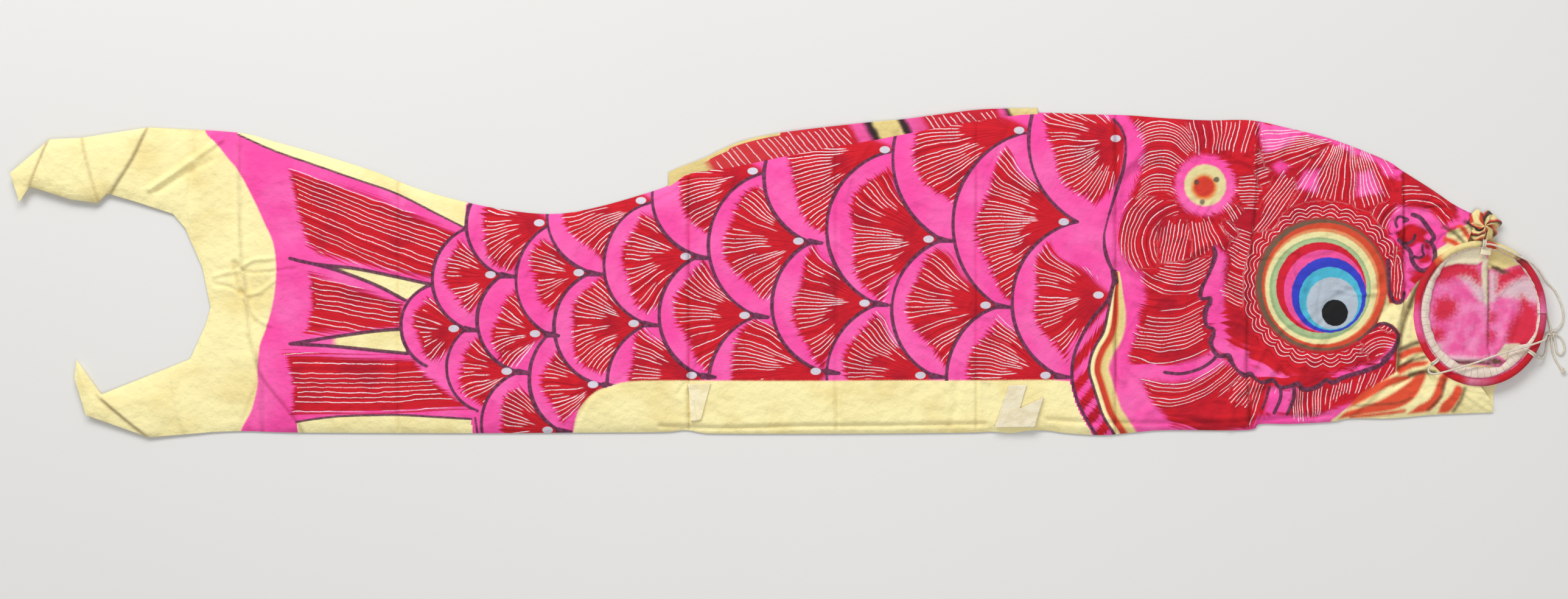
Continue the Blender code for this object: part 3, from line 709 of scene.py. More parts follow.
EYE_DISCS = (  # centre, radius, how soft the border is, and colour, from the largest to the pupil
    ((530.5, -12.0), 65.0, 2.4, (112, 92, 74)), ((533, -12.5), 61.5, 1.0, (216, 78, 50)),
    ((531, -13.5), 57.0, 1.2, (232, 150, 100)), ((530, -15), 55.3, 0.8, (238, 228, 168)),
    ((529, -15.5), 50.2, 0.8, (158, 184, 134)), ((529.5, -15), 48.0, 0.8, (176, 198, 146)),
    ((530, -14.5), 44.5, 0.5, (212, 32, 54)), ((533.5, -18), 40.5, 0.5, (240, 84, 156)),
    ((537.5, -22), 37.0, 0.5, (56, 66, 196)), ((539, -25.5), 31.0, 0.5, (78, 184, 212)),
    ((541, -30), 25.5, 0.5, (180, 192, 204)), ((543.5, -39.5), 13.0, 0.5, (26, 26, 28)),
)
FLOWER_DISCS = (
    ((416, 86), 20.5, 1.4, (232, 218, 158)), ((415, 84), 12.4, 2.6, (230, 130, 64)),
    ((415, 84.5), 9.8, 1.6, (214, 62, 46)), ((407.5, 89), 2.6, 0.8, (112, 74, 62)),
    ((427, 91.5), 2.8, 0.8, (116, 104, 84)), ((413, 69.5), 2.6, 1.0, (140, 128, 104)),
)


class Value:
    """An output of a node, which can be written in sums."""

    def __init__(self, nodes, socket):
        self.nodes, self.socket = nodes, socket

    def __add__(self, other):
        return self.nodes.math("ADD", self, other)

    def __sub__(self, other):
        return self.nodes.math("SUBTRACT", self, other)

    def __rsub__(self, other):
        return self.nodes.math("SUBTRACT", other, self)

    def __mul__(self, other):
        return self.nodes.math("MULTIPLY", self, other)

    __radd__, __rmul__ = __add__, __mul__


class Nodes:
    """One material's node tree, built a step at a time."""

    def __init__(self, name, roughness, sheen=0.0, metallic=0.0):
        self.material = bpy.data.materials.new(name)
        self.material.use_nodes = True
        self.tree = self.material.node_tree
        self.shader = self.tree.nodes["Principled BSDF"]
        self.shader.inputs["Roughness"].default_value = roughness
        self.shader.inputs["Sheen Weight"].default_value = sheen
        self.shader.inputs["Metallic"].default_value = metallic
        self.shader.inputs["Specular IOR Level"].default_value = 0.25

    def feed(self, socket, value):
        if isinstance(value, Value):
            self.tree.links.new(value.socket, socket)
        else:
            socket.default_value = value

    def node(self, kind, inputs, output, **settings):
        """Adds a node with those settings and inputs, and gives one of its outputs."""
        node = self.tree.nodes.new("ShaderNode" + kind)
        for name, value in settings.items():
            setattr(node, name, value)
        for socket, value in inputs.items():
            self.feed(node.inputs[socket], value)
        return Value(self, node.outputs[output])

    def math(self, operation, *values, clamp=False):
        return self.node("Math", dict(enumerate(values)), 0, operation=operation, use_clamp=clamp)

    def step(self, value, low, high):
        """0 below low and 1 above high, smoothly between."""
        inputs = {"Value": value, "From Min": low, "From Max": high}
        return self.node("MapRange", inputs, 0, interpolation_type="SMOOTHSTEP")

    def mix(self, share, a, b, blend="MIX"):
        return self.node("Mix", {0: share, 6: a, 7: b}, 2, data_type="RGBA", blend_type=blend)

    def value(self, name):
        return self.node("Attribute", {}, "Fac", attribute_name=name)

    def place(self):
        """Where a point was on the flat cloth, in millimetres."""
        return self.node("Attribute", {}, "Vector", attribute_name="flat")

    def scaled(self, vector, x, y, z=1.0):
        return self.node("VectorMath", {0: vector, 1: (x, y, z)}, 0, operation="MULTIPLY")

    def away_from(self, vector, x, y):
        return self.node("VectorMath", {0: vector, 1: (x, y, 0.0)}, "Value", operation="DISTANCE")

    def along(self, vector, axis):
        return self.node("SeparateXYZ", {0: vector}, axis)

    def noise(self, vector, scale, detail):
        return self.node("TexNoise", {"Vector": vector, "Scale": scale, "Detail": detail}, "Fac")

    def noise_along(self, value, scale):
        inputs = {"W": value, "Scale": scale, "Detail": 1.0}
        return self.node("TexNoise", inputs, "Fac", noise_dimensions="1D")

    def chance(self, value):
        return self.node("TexWhiteNoise", {"W": value}, "Value", noise_dimensions="1D")

    def ramp(self, value, stops):
        """Colours that follow a value from 0 to 1. Each stop is where it is, red, green and blue."""
        node = self.tree.nodes.new("ShaderNodeValToRGB")
        self.feed(node.inputs[0], value)
        marks = node.color_ramp.elements
        while len(marks) < len(stops):
            marks.new(0.5)
        for mark, (at, *colour) in zip(marks, stops):
            mark.position = at
            mark.color = tint(*colour)
        return Value(self, node.outputs["Color"]), Value(self, node.outputs["Alpha"])

    def bump(self, height, distance, under=None):
        inputs = {"Strength": 1.0, "Distance": distance, "Height": height}
        if under is not None:
            inputs["Normal"] = under
        return self.node("Bump", inputs, 0)

    def done(self, colour, normal=None):
        self.feed(self.shader.inputs["Base Color"], colour)
        if normal is not None:
            self.feed(self.shader.inputs["Normal"], normal)
        return self.material

    def woven(self, colour):
        """Finishes cotton of that colour: a plain weave over a fine crumple of the cloth."""
        place = self.place()
        turn = 2.0 * math.pi / THREAD_PITCH
        warp, weft = [self.math("SINE", self.along(place, axis) * turn) for axis in (0, 1)]
        slubs = self.noise(self.scaled(place, 0.25, 2.2), 1.0, 1.0)
        fine = self.bump(warp * weft + slubs, WEAVE_RISE)
        soft = self.noise(place, 0.09, 5.0)
        return self.done(colour, self.bump(soft, CRUMPLE_RISE, fine))


THREAD_PITCH = 0.55  # of the weave, in millimetres
WEAVE_RISE, CRUMPLE_RISE = 0.00002, 0.0024  # heights of the bumps, in metres
STROKE_HALF = 0.2  # half the width of the thinnest white strokes
MISSING_STROKES = 0.17  # the share of the strokes that is left out
CREASE_WEAR_AND_SHADE_SHARE = 0.62  # how strongly crease wear and painted shade darken the paint
INK_SHARE = 0.94


def white_strokes(cloth, colour, ink=None):
    """Thin white strokes drawn by hand, of uneven length and strength, and some left out."""
    place, pitch = cloth.place(), cloth.value("pitch")
    worn = cloth.noise(place, 0.55, 1.0)
    phase = cloth.value("phase") + (cloth.noise(place, 0.045, 2.0) - 0.5) * 1.1
    middle = cloth.math("ABSOLUTE", cloth.math("FRACT", phase) - 0.5)
    line = cloth.step(STROKE_HALF + worn * 0.36 - middle * pitch, -0.3, 0.3)
    number = cloth.math("FLOOR", phase)
    length = (cloth.chance(number) - 0.55) * 7.0
    shown = cloth.step(cloth.value("strokes") + length, -0.8, 0.8)
    drawn = cloth.chance(number * 1.37 + 11.0)
    shown = shown * cloth.step(drawn, MISSING_STROKES, MISSING_STROKES + 0.02)
    if ink is not None:
        shown = shown * cloth.step(ink, 0.0, 0.7)
    strength = 0.64 + cloth.chance(number * 2.31 + 5.0) * 0.36
    return cloth.mix(line * shown * cloth.step(worn, 0.2, 0.42) * strength, colour, CHALK)


def painted_cloth(name, discs=()):
    """Cotton with the hand painting: layers of colour from the distances stored on the cloth."""
    cloth = Nodes(name, 0.86, sheen=0.08)
    place, phase, ink = cloth.place(), cloth.value("phase"), cloth.value("ink")
    blotch = cloth.noise(place, 0.022, 4.0)
    ragged = cloth.noise(place, 0.9, 2.0) - 0.5
    brush = cloth.noise(place, 0.25, 3.0)
    feather = (cloth.noise_along(phase, 2.1) - 0.5) * 13.0 + ragged * 2.5
    colour = cloth.mix(cloth.step(blotch, 0.35, 0.7), PINK, PINK_PALE)
    red = cloth.mix(cloth.step(cloth.noise_along(phase, 1.3), 0.35, 0.75), RED, RED_DEEP)
    stain = cloth.step(cloth.noise(place, 0.028, 3.0), 0.46, 0.68)
    red = cloth.mix(stain * 0.55, red, RED_STAIN)
    colour = cloth.mix(cloth.step(cloth.value("red") + feather, -3.0, 2.5), colour, red)
    cream = cloth.mix(cloth.step(blotch, 0.4, 0.75), CREAM, CREAM_DEEP)
    colour = cloth.mix(cloth.step(cloth.value("cream") + ragged * 2.0, -1.2, 1.2), colour, cream)
    colour = cloth.mix(cloth.step(cloth.value("warm") + ragged * 3.0, -2.4, 2.0), colour, WARM)
    band, cover = cloth.ramp(cloth.math("DIVIDE", cloth.value("gill"), GILL_WIDTH, clamp=True), GILL_BANDS)
    colour = white_strokes(cloth, cloth.mix(cover, colour, band), ink)
    line = cloth.step(ink + ragged * 0.8, -0.6, 0.5)
    shade = cloth.mix(cloth.step(brush, 0.35, 0.7), INK, INK_PALE)
    colour = cloth.mix(INK_SHARE - line * INK_SHARE, colour, shade)
    shadow = cloth.step(cloth.value("shade") + (brush - 0.5) * 1.6, -2.4, 2.4)
    colour = cloth.mix(shadow * 0.88, colour, SHADE)
    for centre, radius, soft, paint_colour in discs:
        gap = radius - cloth.away_from(place, *centre) + (brush - 0.5) * 1.6
        colour = cloth.mix(cloth.step(gap, -soft, soft), colour, tint(*paint_colour))
    colour = cloth.mix(cloth.step(cloth.value("dot"), -0.4, 0.4), colour, LILAC)
    # wear and painted shade along creases, in hollows and beside overlapping folds darken the paint
    return cloth.woven(cloth.mix(cloth.value("wear") * CREASE_WEAR_AND_SHADE_SHARE, colour, CREASE_WEAR_AND_SHADE, blend="MULTIPLY"))


def plain_cloth(name, light, dark):
    """Unpainted cotton with soft stains and a weave."""
    cloth = Nodes(name, 0.9, sheen=0.08)
    place = cloth.place()
    colour = cloth.mix(cloth.step(cloth.noise(place, 0.06, 4.0), 0.35, 0.72), light, dark)
    slub = cloth.noise(cloth.scaled(place, 0.12, 2.4), 1.0, 2.0)
    return cloth.woven(cloth.mix(cloth.step(slub, 0.5, 0.75) * 0.25, colour, dark))


def hem_cloth():
    """The cream turned edge of the mouth, darkened at each stitch as painted shade of the pucker there."""
    cloth = Nodes("hem_cloth", 0.9, sheen=0.1)
    place = cloth.place()
    along = cloth.along(place, 0) + cloth.noise(place, 0.3, 1.0) * 2.0
    tick = cloth.math("ABSOLUTE", cloth.math("FRACT", cloth.math("DIVIDE", along, STITCH_PITCH)) - 0.5)
    stain = cloth.step(cloth.noise(place, 0.08, 3.0), 0.35, 0.7)
    colour = cloth.mix(stain, tint(236, 222, 208), tint(222, 202, 184))
    # painted shade of the pucker at each stitch
    pucker = 1.0 - cloth.step(tick, 0.02, 0.06)
    return cloth.woven(cloth.mix(pucker * 0.5, colour, tint(150, 118, 104)))


def banded_cloth(name, stops, wander, strokes=False):
    """Cotton whose paint changes along its stored band, from 0 to 1, with ragged borders."""
    cloth = Nodes(name, 0.86, sheen=0.08)
    place = cloth.place()
    drift = (cloth.noise(place, 0.12, 3.0) - 0.5) * wander
    colour, _ = cloth.ramp(cloth.value("band") + drift, stops)
    if strokes:
        colour = white_strokes(cloth, colour)
    stain = cloth.step(cloth.noise(place, 0.05, 4.0), 0.5, 0.8)
    return cloth.woven(cloth.mix(stain * 0.25, colour, tint(150, 80, 80)))


def lining_cloth():
    """The inside of the mouth, where the dye has come through paler and patchy, with painted shadow along
    its seam and folds and under the hem.
    """
    cloth = Nodes("lining_cloth", 0.92, sheen=0.1)
    place = cloth.place()
    fine = (cloth.noise(place, 0.35, 3.0) - 0.5) * 9.0
    wash = cloth.step(cloth.noise(place, 0.07, 4.0), 0.35, 0.7)
    colour = cloth.mix(wash, tint(238, 92, 160), tint(244, 140, 190))
    for name, soft, paint_colour in LINING_LAYERS:
        depth = cloth.value(name) + fine * (0.26 * soft)
        colour = cloth.mix(cloth.step(depth, -soft, soft), colour, tint(*paint_colour))
    return cloth.woven(colour)


def cotton_string():
    yarn = Nodes("cotton_string", 0.85, sheen=0.2)
    place = yarn.place()
    share = yarn.step(yarn.noise(place, 0.2, 3.0), 0.35, 0.7)
    fuzz = yarn.noise(place, 2.5, 2.0)
    return yarn.done(yarn.mix(share, NATURAL, tint(214, 200, 178)), yarn.bump(fuzz, 0.0003))


def cloudy(name, light, dark, roughness, size, detail, borders, metallic=0.0):
    """A bare surface with faint clouds of a second colour, for the floor and the metal parts."""
    look = Nodes(name, roughness, metallic=metallic)
    source = look.node("TexCoord", {}, "Object")
    cloud = look.noise(look.scaled(source, size, size, size), 1.0, detail)
    if borders:
        cloud = look.step(cloud, *borders)
    return look.done(look.mix(cloud, light, dark))


GILL_WIDTH = 24.0
GILL_BANDS = (
    (0.0, 254, 242, 180), (0.17, 254, 242, 180), (0.25, 206, 60, 44), (0.42, 214, 70, 46),
    (0.54, 232, 208, 134), (0.76, 238, 218, 150), (0.9, 246, 78, 158, 0.0), (1.0, 246, 78, 158, 0.0),
)
STITCH_PITCH = 7.3
LINING_LAYERS = (  # the stored depth, how soft its border is, and its colour
    ("pale", 4.0, (224, 190, 200)), ("red", 5.5, (214, 46, 72)), ("cream", 1.2, (228, 216, 186)),
    # dark: painted shadow along the seam, beside a fold and under the hem
    ("yellow", 1.4, (226, 206, 142)), ("dark", 2.0, (110, 78, 62)),
)
CASING_BANDS = (  # counted round the hoop from its right side
    (0.0, 226, 120, 170), (0.05, 196, 40, 70), (0.11, 198, 32, 50), (0.145, 120, 50, 52),
    (0.155, 236, 216, 150), (0.20, 238, 222, 156), (0.215, 200, 70, 50), (0.235, 212, 80, 56),
    (0.245, 92, 82, 70), (0.26, 240, 222, 152), (0.345, 236, 216, 150), (0.362, 226, 110, 60),
    (0.38, 190, 26, 40), (0.47, 208, 30, 48), (0.50, 240, 92, 160), (0.545, 236, 92, 154),
    (0.57, 208, 28, 46), (0.70, 200, 26, 42), (0.73, 216, 120, 150), (0.77, 196, 70, 100),
    (0.80, 202, 26, 40), (0.94, 188, 22, 38), (1.0, 200, 80, 120),
)
FIN_BANDS = (  # along the dorsal fin, from its rear end
    (0.0, 232, 210, 140), (0.09, 230, 208, 140), (0.115, 214, 60, 64), (0.50, 206, 34, 52),
    (0.515, 244, 92, 164), (0.535, 244, 92, 164), (0.549, 60, 40, 46), (0.561, 60, 40, 46),
    (0.571, 234, 212, 140), (0.625, 234, 212, 140), (0.634, 60, 42, 46), (0.646, 60, 42, 46),
    (0.656, 244, 96, 168), (0.685, 240, 84, 150), (0.70, 206, 34, 52), (0.885, 206, 34, 52),
    (0.90, 244, 92, 164), (0.915, 70, 44, 44), (0.925, 236, 214, 144), (1.0, 238, 218, 150),
)
GATHER_BANDS = (
    (0.0, 236, 218, 150), (0.10, 240, 224, 162), (0.16, 210, 76, 48), (0.24, 206, 60, 44),
    (0.28, 70, 62, 54), (0.36, 60, 54, 48), (0.40, 238, 216, 150), (0.50, 240, 222, 160),
    (0.56, 206, 56, 44), (0.62, 66, 58, 52), (0.68, 236, 214, 150), (0.78, 214, 96, 60),
    (0.84, 82, 70, 60), (0.9, 240, 222, 156), (1.0, 236, 218, 150),
)

BODY_LOOK = painted_cloth("painted_cloth")
HEAD_LOOK = painted_cloth("painted_head", EYE_DISCS + FLOWER_DISCS)
FIN_LOOK = banded_cloth("fin_cloth", FIN_BANDS, 0.012, strokes=True)
CASING_LOOK = banded_cloth("casing_cloth", CASING_BANDS, 0.035)
GATHER_LOOK = banded_cloth("gathered_cloth", GATHER_BANDS, 0.12)
TAB_LOOK = plain_cloth("tab_cloth", tint(244, 234, 206), tint(234, 220, 184))
PALE_TAB_LOOK = plain_cloth("pale_tab_cloth", tint(252, 242, 204), tint(246, 230, 180))
HEM_LOOK = hem_cloth()
LINING_LOOK = lining_cloth()
STRING_LOOK = cotton_string()
METAL = {"size": 180.0, "detail": 3.0, "borders": (0.4, 0.7), "metallic": 0.9}
WIRE_LOOK = cloudy("galvanised_wire", tint(170, 172, 174), tint(128, 130, 132), 0.4, **METAL)
SLEEVE_LOOK = cloudy("brass_sleeve", tint(196, 160, 92), tint(140, 108, 60), 0.35, **METAL)
FLOOR_LOOK = cloudy("floor_paint", FLOOR, FLOOR_PALE, 0.7, size=2.0, detail=2.0, borders=None)


# ---------------------------------------------------------------- building meshes
def make_piece(name, points, faces, look):
    """A smooth-shaded object from points in the frame."""
    mesh = bpy.data.meshes.new(name)
    mesh.from_pydata(points.tolist(), [], faces if isinstance(faces, list) else faces.tolist())
    mesh.update()
    mesh.materials.append(look)
    mesh.shade_smooth()
    piece = bpy.data.objects.new(name, mesh)
    bpy.context.scene.collection.objects.link(piece)
    return piece


def grid_faces(columns, rows, first=0, round_columns=False, round_rows=False):
    """The four-cornered faces of a grid of points, stored column by column."""
    index = first + np.arange(columns * rows).reshape(columns, rows)
    if round_columns:
        index = np.vstack([index, index[:1]])
    if round_rows:
        index = np.hstack([index, index[:, :1]])
    corners = index[:-1, :-1], index[1:, :-1], index[1:, 1:], index[:-1, 1:]
    return np.stack([corner.ravel() for corner in corners], axis=1)


def keep_value(piece, name, values):
    layer = piece.data.attributes.new(name, "FLOAT", "POINT")
    layer.data.foreach_set("value", np.asarray(values, np.float32).ravel())


def keep_flat(piece, u, v):
    """Stores where each point is on the flat cloth, in millimetres."""
    layer = piece.data.attributes.new("flat", "FLOAT_VECTOR", "POINT")
    flat = np.stack([u, v, np.zeros(np.shape(u))], axis=-1)
    layer.data.foreach_set("vector", np.asarray(flat, np.float32).ravel())


def border(columns, rows):
    """Indices round the edge of a grid, anticlockwise."""
    index = np.arange(columns * rows).reshape(columns, rows)
    return list(index[:-1, 0]) + list(index[-1, :-1]) + list(index[:0:-1, -1]) + list(index[0, :0:-1])


def two_layers(x, y, height, thickness, columns, rows):
    """A closed sheet over a grid: the points of its upper and its lower face, and all its faces."""
    count, rim = columns * rows, border(columns, rows)
    sides = [(a, b, b + count, a + count)[::-1] for a, b in zip(rim, rim[1:] + rim[:1])]
    faces = np.vstack([grid_faces(columns, rows), grid_faces(columns, rows, first=count)[:, ::-1], sides])
    return np.vstack([to_frame(x, y, height), to_frame(x, y, height - thickness)]), faces


def signed_areas(points, faces):
    """Areas of flat faces, positive where their corners go round anticlockwise."""
    x, y = points[faces][..., 0], points[faces][..., 1]
    return np.sum(x * np.roll(y, -1, axis=1) - y * np.roll(x, -1, axis=1), axis=1) / 2.0


def flat_area(x, y, faces):
    return abs(float(np.sum(signed_areas(np.stack([x, y], axis=-1), faces))))


def runs_along(line):
    """How far along a line each of its points is."""
    return np.concatenate([[0.0], np.cumsum(np.linalg.norm(np.diff(line, axis=0), axis=1))])


def spread(line, count):
    """That many points evenly along a line."""
    line = np.array(line, float)
    runs = runs_along(line)
    wanted = np.linspace(0.0, runs[-1], count)
    return np.stack([np.interp(wanted, runs, line[:, i]) for i in range(line.shape[1])], axis=-1)


def patch(bottom, top, left, right, columns, rows):
    """A grid over a four-sided area. Bottom and top run the same way, and so do left and right."""
    low, high = spread(bottom, columns)[:, None], spread(top, columns)[:, None]
    first, last = spread(left, rows)[None], spread(right, rows)[None]
    u = np.linspace(0.0, 1.0, columns)[:, None, None]
    v = np.linspace(0.0, 1.0, rows)[None, :, None]
    corners = (
        (1 - u) * (1 - v) * low[0, 0] + u * (1 - v) * low[-1, 0]
        + (1 - u) * v * high[0, 0] + u * v * high[-1, 0]
    )
    return (1 - v) * low + v * high + (1 - u) * first + u * last - corners


# ---------------------------------------------------------------- floor and strings
# String routes, from the hoop to the knot, with their heights above the floor
LEG_LEFT = (
    (637.3, -91.8, 11.3), (635.0, -93.8, 11.4), (634.6, -96.6, 11.2), (637.0, -99.0, 11.4),
    (642.0, -99.4, 12.6), (650.0, -97.4, 13.6), (664.0, -93.6, 13.2), (682.0, -88.0, 12.2),
    (700.0, -81.6, 11.8), (718.0, -76.2, 12.4), (733.0, -71.6, 13.3), (746.5, -67.0, 13.1),
    (750.0, -64.8, 10.5), (751.4, -62.7, 7.3), (752.2, -61.3, 4.8), (755.0, -60.2, 3.1),
)
LEG_TOP = (
    (690.7, 28.0, 13.3), (698.0, 27.2, 13.4), (710.0, 22.6, 13.4), (721.0, 17.2, 13.2),
    (730.0, 12.8, 12.0), (738.0, 8.0, 9.0), (745.5, 0.5, 5.6), (751.0, -7.0, 2.8),
    (756.0, -12.0, 1.3), (761.0, -17.5, 1.2), (765.0, -25.0, 1.2), (768.0, -33.0, 1.2),
    (769.6, -41.0, 1.2), (768.6, -49.0, 1.2), (765.2, -54.6, 1.5), (758.8, -58.6, 2.6),
)
LEG_RIGHT = (
    (742.4, -82.4, 8.0), (744.8, -83.8, 6.9), (747.8, -84.2, 4.2), (750.4, -82.4, 2.0),
    (752.0, -78.3, 1.3), (753.0, -73.0, 1.2), (753.8, -67.6, 1.4), (756.4, -61.4, 2.6),
)
SPARE_END = (
    (757.0, -58.6, 2.8), (756.3, -52.0, 1.4), (754.6, -45.0, 1.2), (753.0, -37.0, 1.2),
    (751.3, -30.0, 1.2), (749.6, -24.0, 1.2),
)
TOW_LOOP = (
    (758.6, -60.0, 2.8), (764.5, -61.6, 1.5), (768.0, -65.2, 1.2), (770.3, -70.5, 1.2),
    (770.6, -76.5, 1.2), (767.5, -80.8, 1.2), (763.8, -79.2, 1.2), (762.3, -74.0, 1.2),
    (761.6, -68.0, 1.4), (759.0, -61.4, 2.8),
)
TOW_TAIL = (
    (757.4, -61.4, 2.8), (757.9, -68.0, 1.4), (758.4, -74.0, 1.2), (759.6, -80.0, 1.2),
    (762.0, -86.0, 1.2), (765.2, -91.4, 1.3), (768.6, -96.0, 2.2),
)
KNOT_CENTRE = (757.5, -60.0, 3.1)
END_KNOT_CENTRE = (769.3, -96.5, 2.3)
STRING_SIDES, STRING_PLIES = 12, 3
STRING_STEP = 0.9  # between the rings of points along a string
STRING_TWIST = 7.0  # the plies go round once in this length
TIE_TURNS, TIE_PITCH = 2.0, 2.0
BRIDLE_STAYS_FROM, BRIDLE_LIFTS_FROM = 772.0, 742.0


def make_floor():
    half = FLOOR_SIZE / 2.0
    corners = np.array([(-half, -half, 0), (half, -half, 0), (half, half, 0), (-half, half, 0)])
    floor = make_piece("floor", corners, [(0, 1, 2, 3)], FLOOR_LOOK)


def smooth_route(route):
    """Evenly spaced points along a smooth curve through a route's points, and its length."""
    dense = smooth_line(route, 16)
    length = runs_along(dense)[-1]
    return spread(dense, max(8, int(round(length / STRING_STEP)) + 1)), length


def make_cord(name, route, radius, closed=False):
    """A twisted cord along points in millimetres."""
    count = len(route)
    if closed:
        ahead = np.roll(route, -1, axis=0) - np.roll(route, 1, axis=0)
    else:
        ahead = np.gradient(route, axis=0)
    ahead /= np.linalg.norm(ahead, axis=1)[:, None]
    normals = [np.cross(ahead[0], (0.31, 0.12, 0.94))]
    for heading in ahead[1:]:
        turned = normals[-1] - heading * (normals[-1] @ heading)
        normals.append(turned / np.linalg.norm(turned))
    normals = np.array(normals)
    normals /= np.linalg.norm(normals, axis=1)[:, None]
    across = np.cross(ahead, normals)
    runs = runs_along(route)
    turn = np.linspace(0.0, 2.0 * math.pi, STRING_SIDES, endpoint=False)
    angle = np.tile(turn, (count, 1))
    twist = angle - (runs / STRING_TWIST * 2.0 * math.pi)[:, None]
    size = radius * (0.84 + 0.16 * np.abs(np.cos(STRING_PLIES / 2.0 * twist)))
    if not closed:
        size[[0, -1]] *= 0.7
    rings = (
        route[:, None] + normals[:, None] * (size * np.cos(angle))[..., None]
        + across[:, None] * (size * np.sin(angle))[..., None]
    )
    points = rings.reshape(-1, 3)
    faces = grid_faces(count, STRING_SIDES, round_columns=closed, round_rows=True).tolist()
    along, around = np.repeat(runs, STRING_SIDES), np.tile(turn * radius, count)
    for end in () if closed else (0, count - 1):
        ring = [end * STRING_SIDES + i for i in range(STRING_SIDES)]
        faces += [(a, b, len(points)) for a, b in zip(ring, ring[1:] + ring[:1])]
        points = np.vstack([points, route[end]])
        along, around = np.append(along, runs[end]), np.append(around, 0.0)
    piece = make_piece(name, to_frame(*points.T), faces, STRING_LOOK)
    keep_flat(piece, along, around)
    return piece


def lift_with_hoop(piece):
    """Bakes the string's placement into its points."""
    spot(BRIDLE_STAYS_FROM, 0.0)
    spot(BRIDLE_LIFTS_FROM, 0.0)
    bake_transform(piece)


def make_string(name, route):
    points, length = smooth_route(route)
    piece = make_cord(name, points, STRING_RADIUS)
    lift_with_hoop(piece)
    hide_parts(name)
    path = to_frame(*points.T)
    return piece


def make_knot(name, centre, size, tilt):
    """An overhand knot pulled tight: the string's path through it is a trefoil."""
    t = np.linspace(0.0, 2.0 * math.pi, 72, endpoint=False)
    x = np.sin(t) + 2.0 * np.sin(2.0 * t)
    y = np.cos(t) - 2.0 * np.cos(2.0 * t)
    z = -1.5 * np.sin(3.0 * t)
    cos, sin = math.cos(tilt), math.sin(tilt)
    loop = np.stack([x * cos - y * sin, x * sin + y * cos, z], axis=-1)
    route = loop * size / 3.0 + np.array(centre)
    piece = make_cord(name, route, 0.85 * STRING_RADIUS, closed=True)
    lift_with_hoop(piece)
    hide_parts(name)
    return piece


def on_hoop(angle, reach=0.0):
    """A layout point on the hoop's centre line, or reach millimetres outside it."""
    rx, ry = HOOP_RADII
    nx, ny = np.cos(angle) / rx, np.sin(angle) / ry
    size = np.hypot(nx, ny)
    x = HOOP_CENTRE[0] + rx * np.cos(angle) + nx / size * reach
    y = HOOP_CENTRE[1] + ry * np.sin(angle) + ny / size * reach
    return x, y


def make_tie(word, degrees):
    """Turns of string round the casing."""
    t = np.linspace(0.0, TIE_TURNS * 2.0 * math.pi, 110)
    along = (t / (2.0 * math.pi) - TIE_TURNS / 2.0) * TIE_PITCH
    angle = math.radians(degrees) + along / np.mean(HOOP_RADII)
    reach = CASING_RADIUS + 0.45 * STRING_RADIUS
    x, y = on_hoop(angle, reach * np.cos(t))
    route = np.stack([x, y, HOOP_HEIGHT + reach * np.sin(t)], axis=-1)
    name = "bridle_tie_" + word
    piece = make_cord(name, route, STRING_RADIUS)
    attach(piece, "hoop")
    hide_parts(name)
    return piece


make_floor()
for word, degrees in TIE_ANGLES.items():
    make_tie(word, degrees)
bridle_knot = make_knot("bridle_knot", KNOT_CENTRE, 2.6, 0.4)
tow_end_knot = make_knot("tow_end_knot", END_KNOT_CENTRE, 1.9, 1.1)
make_string("bridle_leg_left", LEG_LEFT)
make_string("bridle_leg_top", LEG_TOP)
make_string("bridle_leg_right", LEG_RIGHT)
make_string("bridle_spare_end", SPARE_END)
make_string("tow_loop", TOW_LOOP)
make_string("tow_tail", TOW_TAIL)


# ---------------------------------------------------------------- the shape of the cloth
BACK_LINE = smooth_line((
    (-575, 141), (-530, 137), (-500, 129), (-450, 115), (-400, 99), (-360, 83), (-310, 69),
    (-260, 60), (-220, 58), (-180, 65), (-128, 80), (-110, 87), (-93, 98), (-70, 102.5), (-48, 105),
    (0, 115), (40, 123), (80, 130), (128, 139), (160, 145), (200, 152), (230, 156), (258, 157.5),
    (300, 156), (340, 155), (380, 152), (420, 150), (462, 150), (500, 142), (540, 132), (580, 117),
    (600, 108), (610, 101), (640, 82), (660, 68), (675, 58),
), 5)
BELLY_LINE = smooth_line((
    (-575, -157.5), (-530, -156), (-472, -157.5), (-300, -158), (-200, -157.5), (-120, -157),
    (-96, -155), (-80, -157.5), (-60, -158.5), (60, -158.5), (180, -157.5), (205, -156.5),
    (226, -158), (243, -155.5), (262, -155.5), (280, -158), (316, -160), (350, -157), (380, -155),
    (458, -155), (470, -149), (500, -149), (540, -147), (560, -143.5), (600, -143.5), (640, -140),
    (700, -137.5),
), 5)
LOBE_BASE = -563.0
UPPER_LOBE_LENGTH, LOWER_LOBE_LENGTH, MOUTH_LENGTH = 200.0, 150.0, 110.0  # for the meshes' columns
WELD_PER_MM = 50.0  # points that round to the same place are one
NOTCH = (-563.0, -35.0)
UPPER_LOBE_INSIDE = (
    NOTCH, (-571, 5), (-588, 44), (-600, 58), (-640, 71), (-664, 78), (-674, 68.5), (-700, 72),
    (-740, 85), (-750, 69.5),
)
UPPER_LOBE_OUTSIDE = ((-568, 139), (-624, 143), (-690, 132.5), (-720, 131), (-759, 98))
LOWER_LOBE_INSIDE = (NOTCH, (-568, -52), (-583, -85), (-630, -104), (-670, -120), (-694, -86))
LOWER_LOBE_OUTSIDE = ((-576, -157.5), (-624, -162), (-685, -140), (-696, -104))
NEAR_GATHER_EDGE = ((676, 36), (681, 49), (675, 58))
FAR_MOUTH_EDGE = (
    (700, -137.5), (703, -112), (720, -98), (738, -78), (744.5, -40), (740, -5), (725, 17),
    (703, 30), (697, 50), (675, 58),
)
HOOP_ARC = (math.radians(270.0), math.radians(101.0))  # where the near side meets the casing
CLOTH_REACH = 2.9  # of the near side over the casing, outside the wire

TOP_HEIGHT, TAIL_HEIGHT, EDGE_HEIGHT = 7.0, 4.6, 1.7
EDGE_ROUND, CREASE_ROUND = 8.0, 3.0
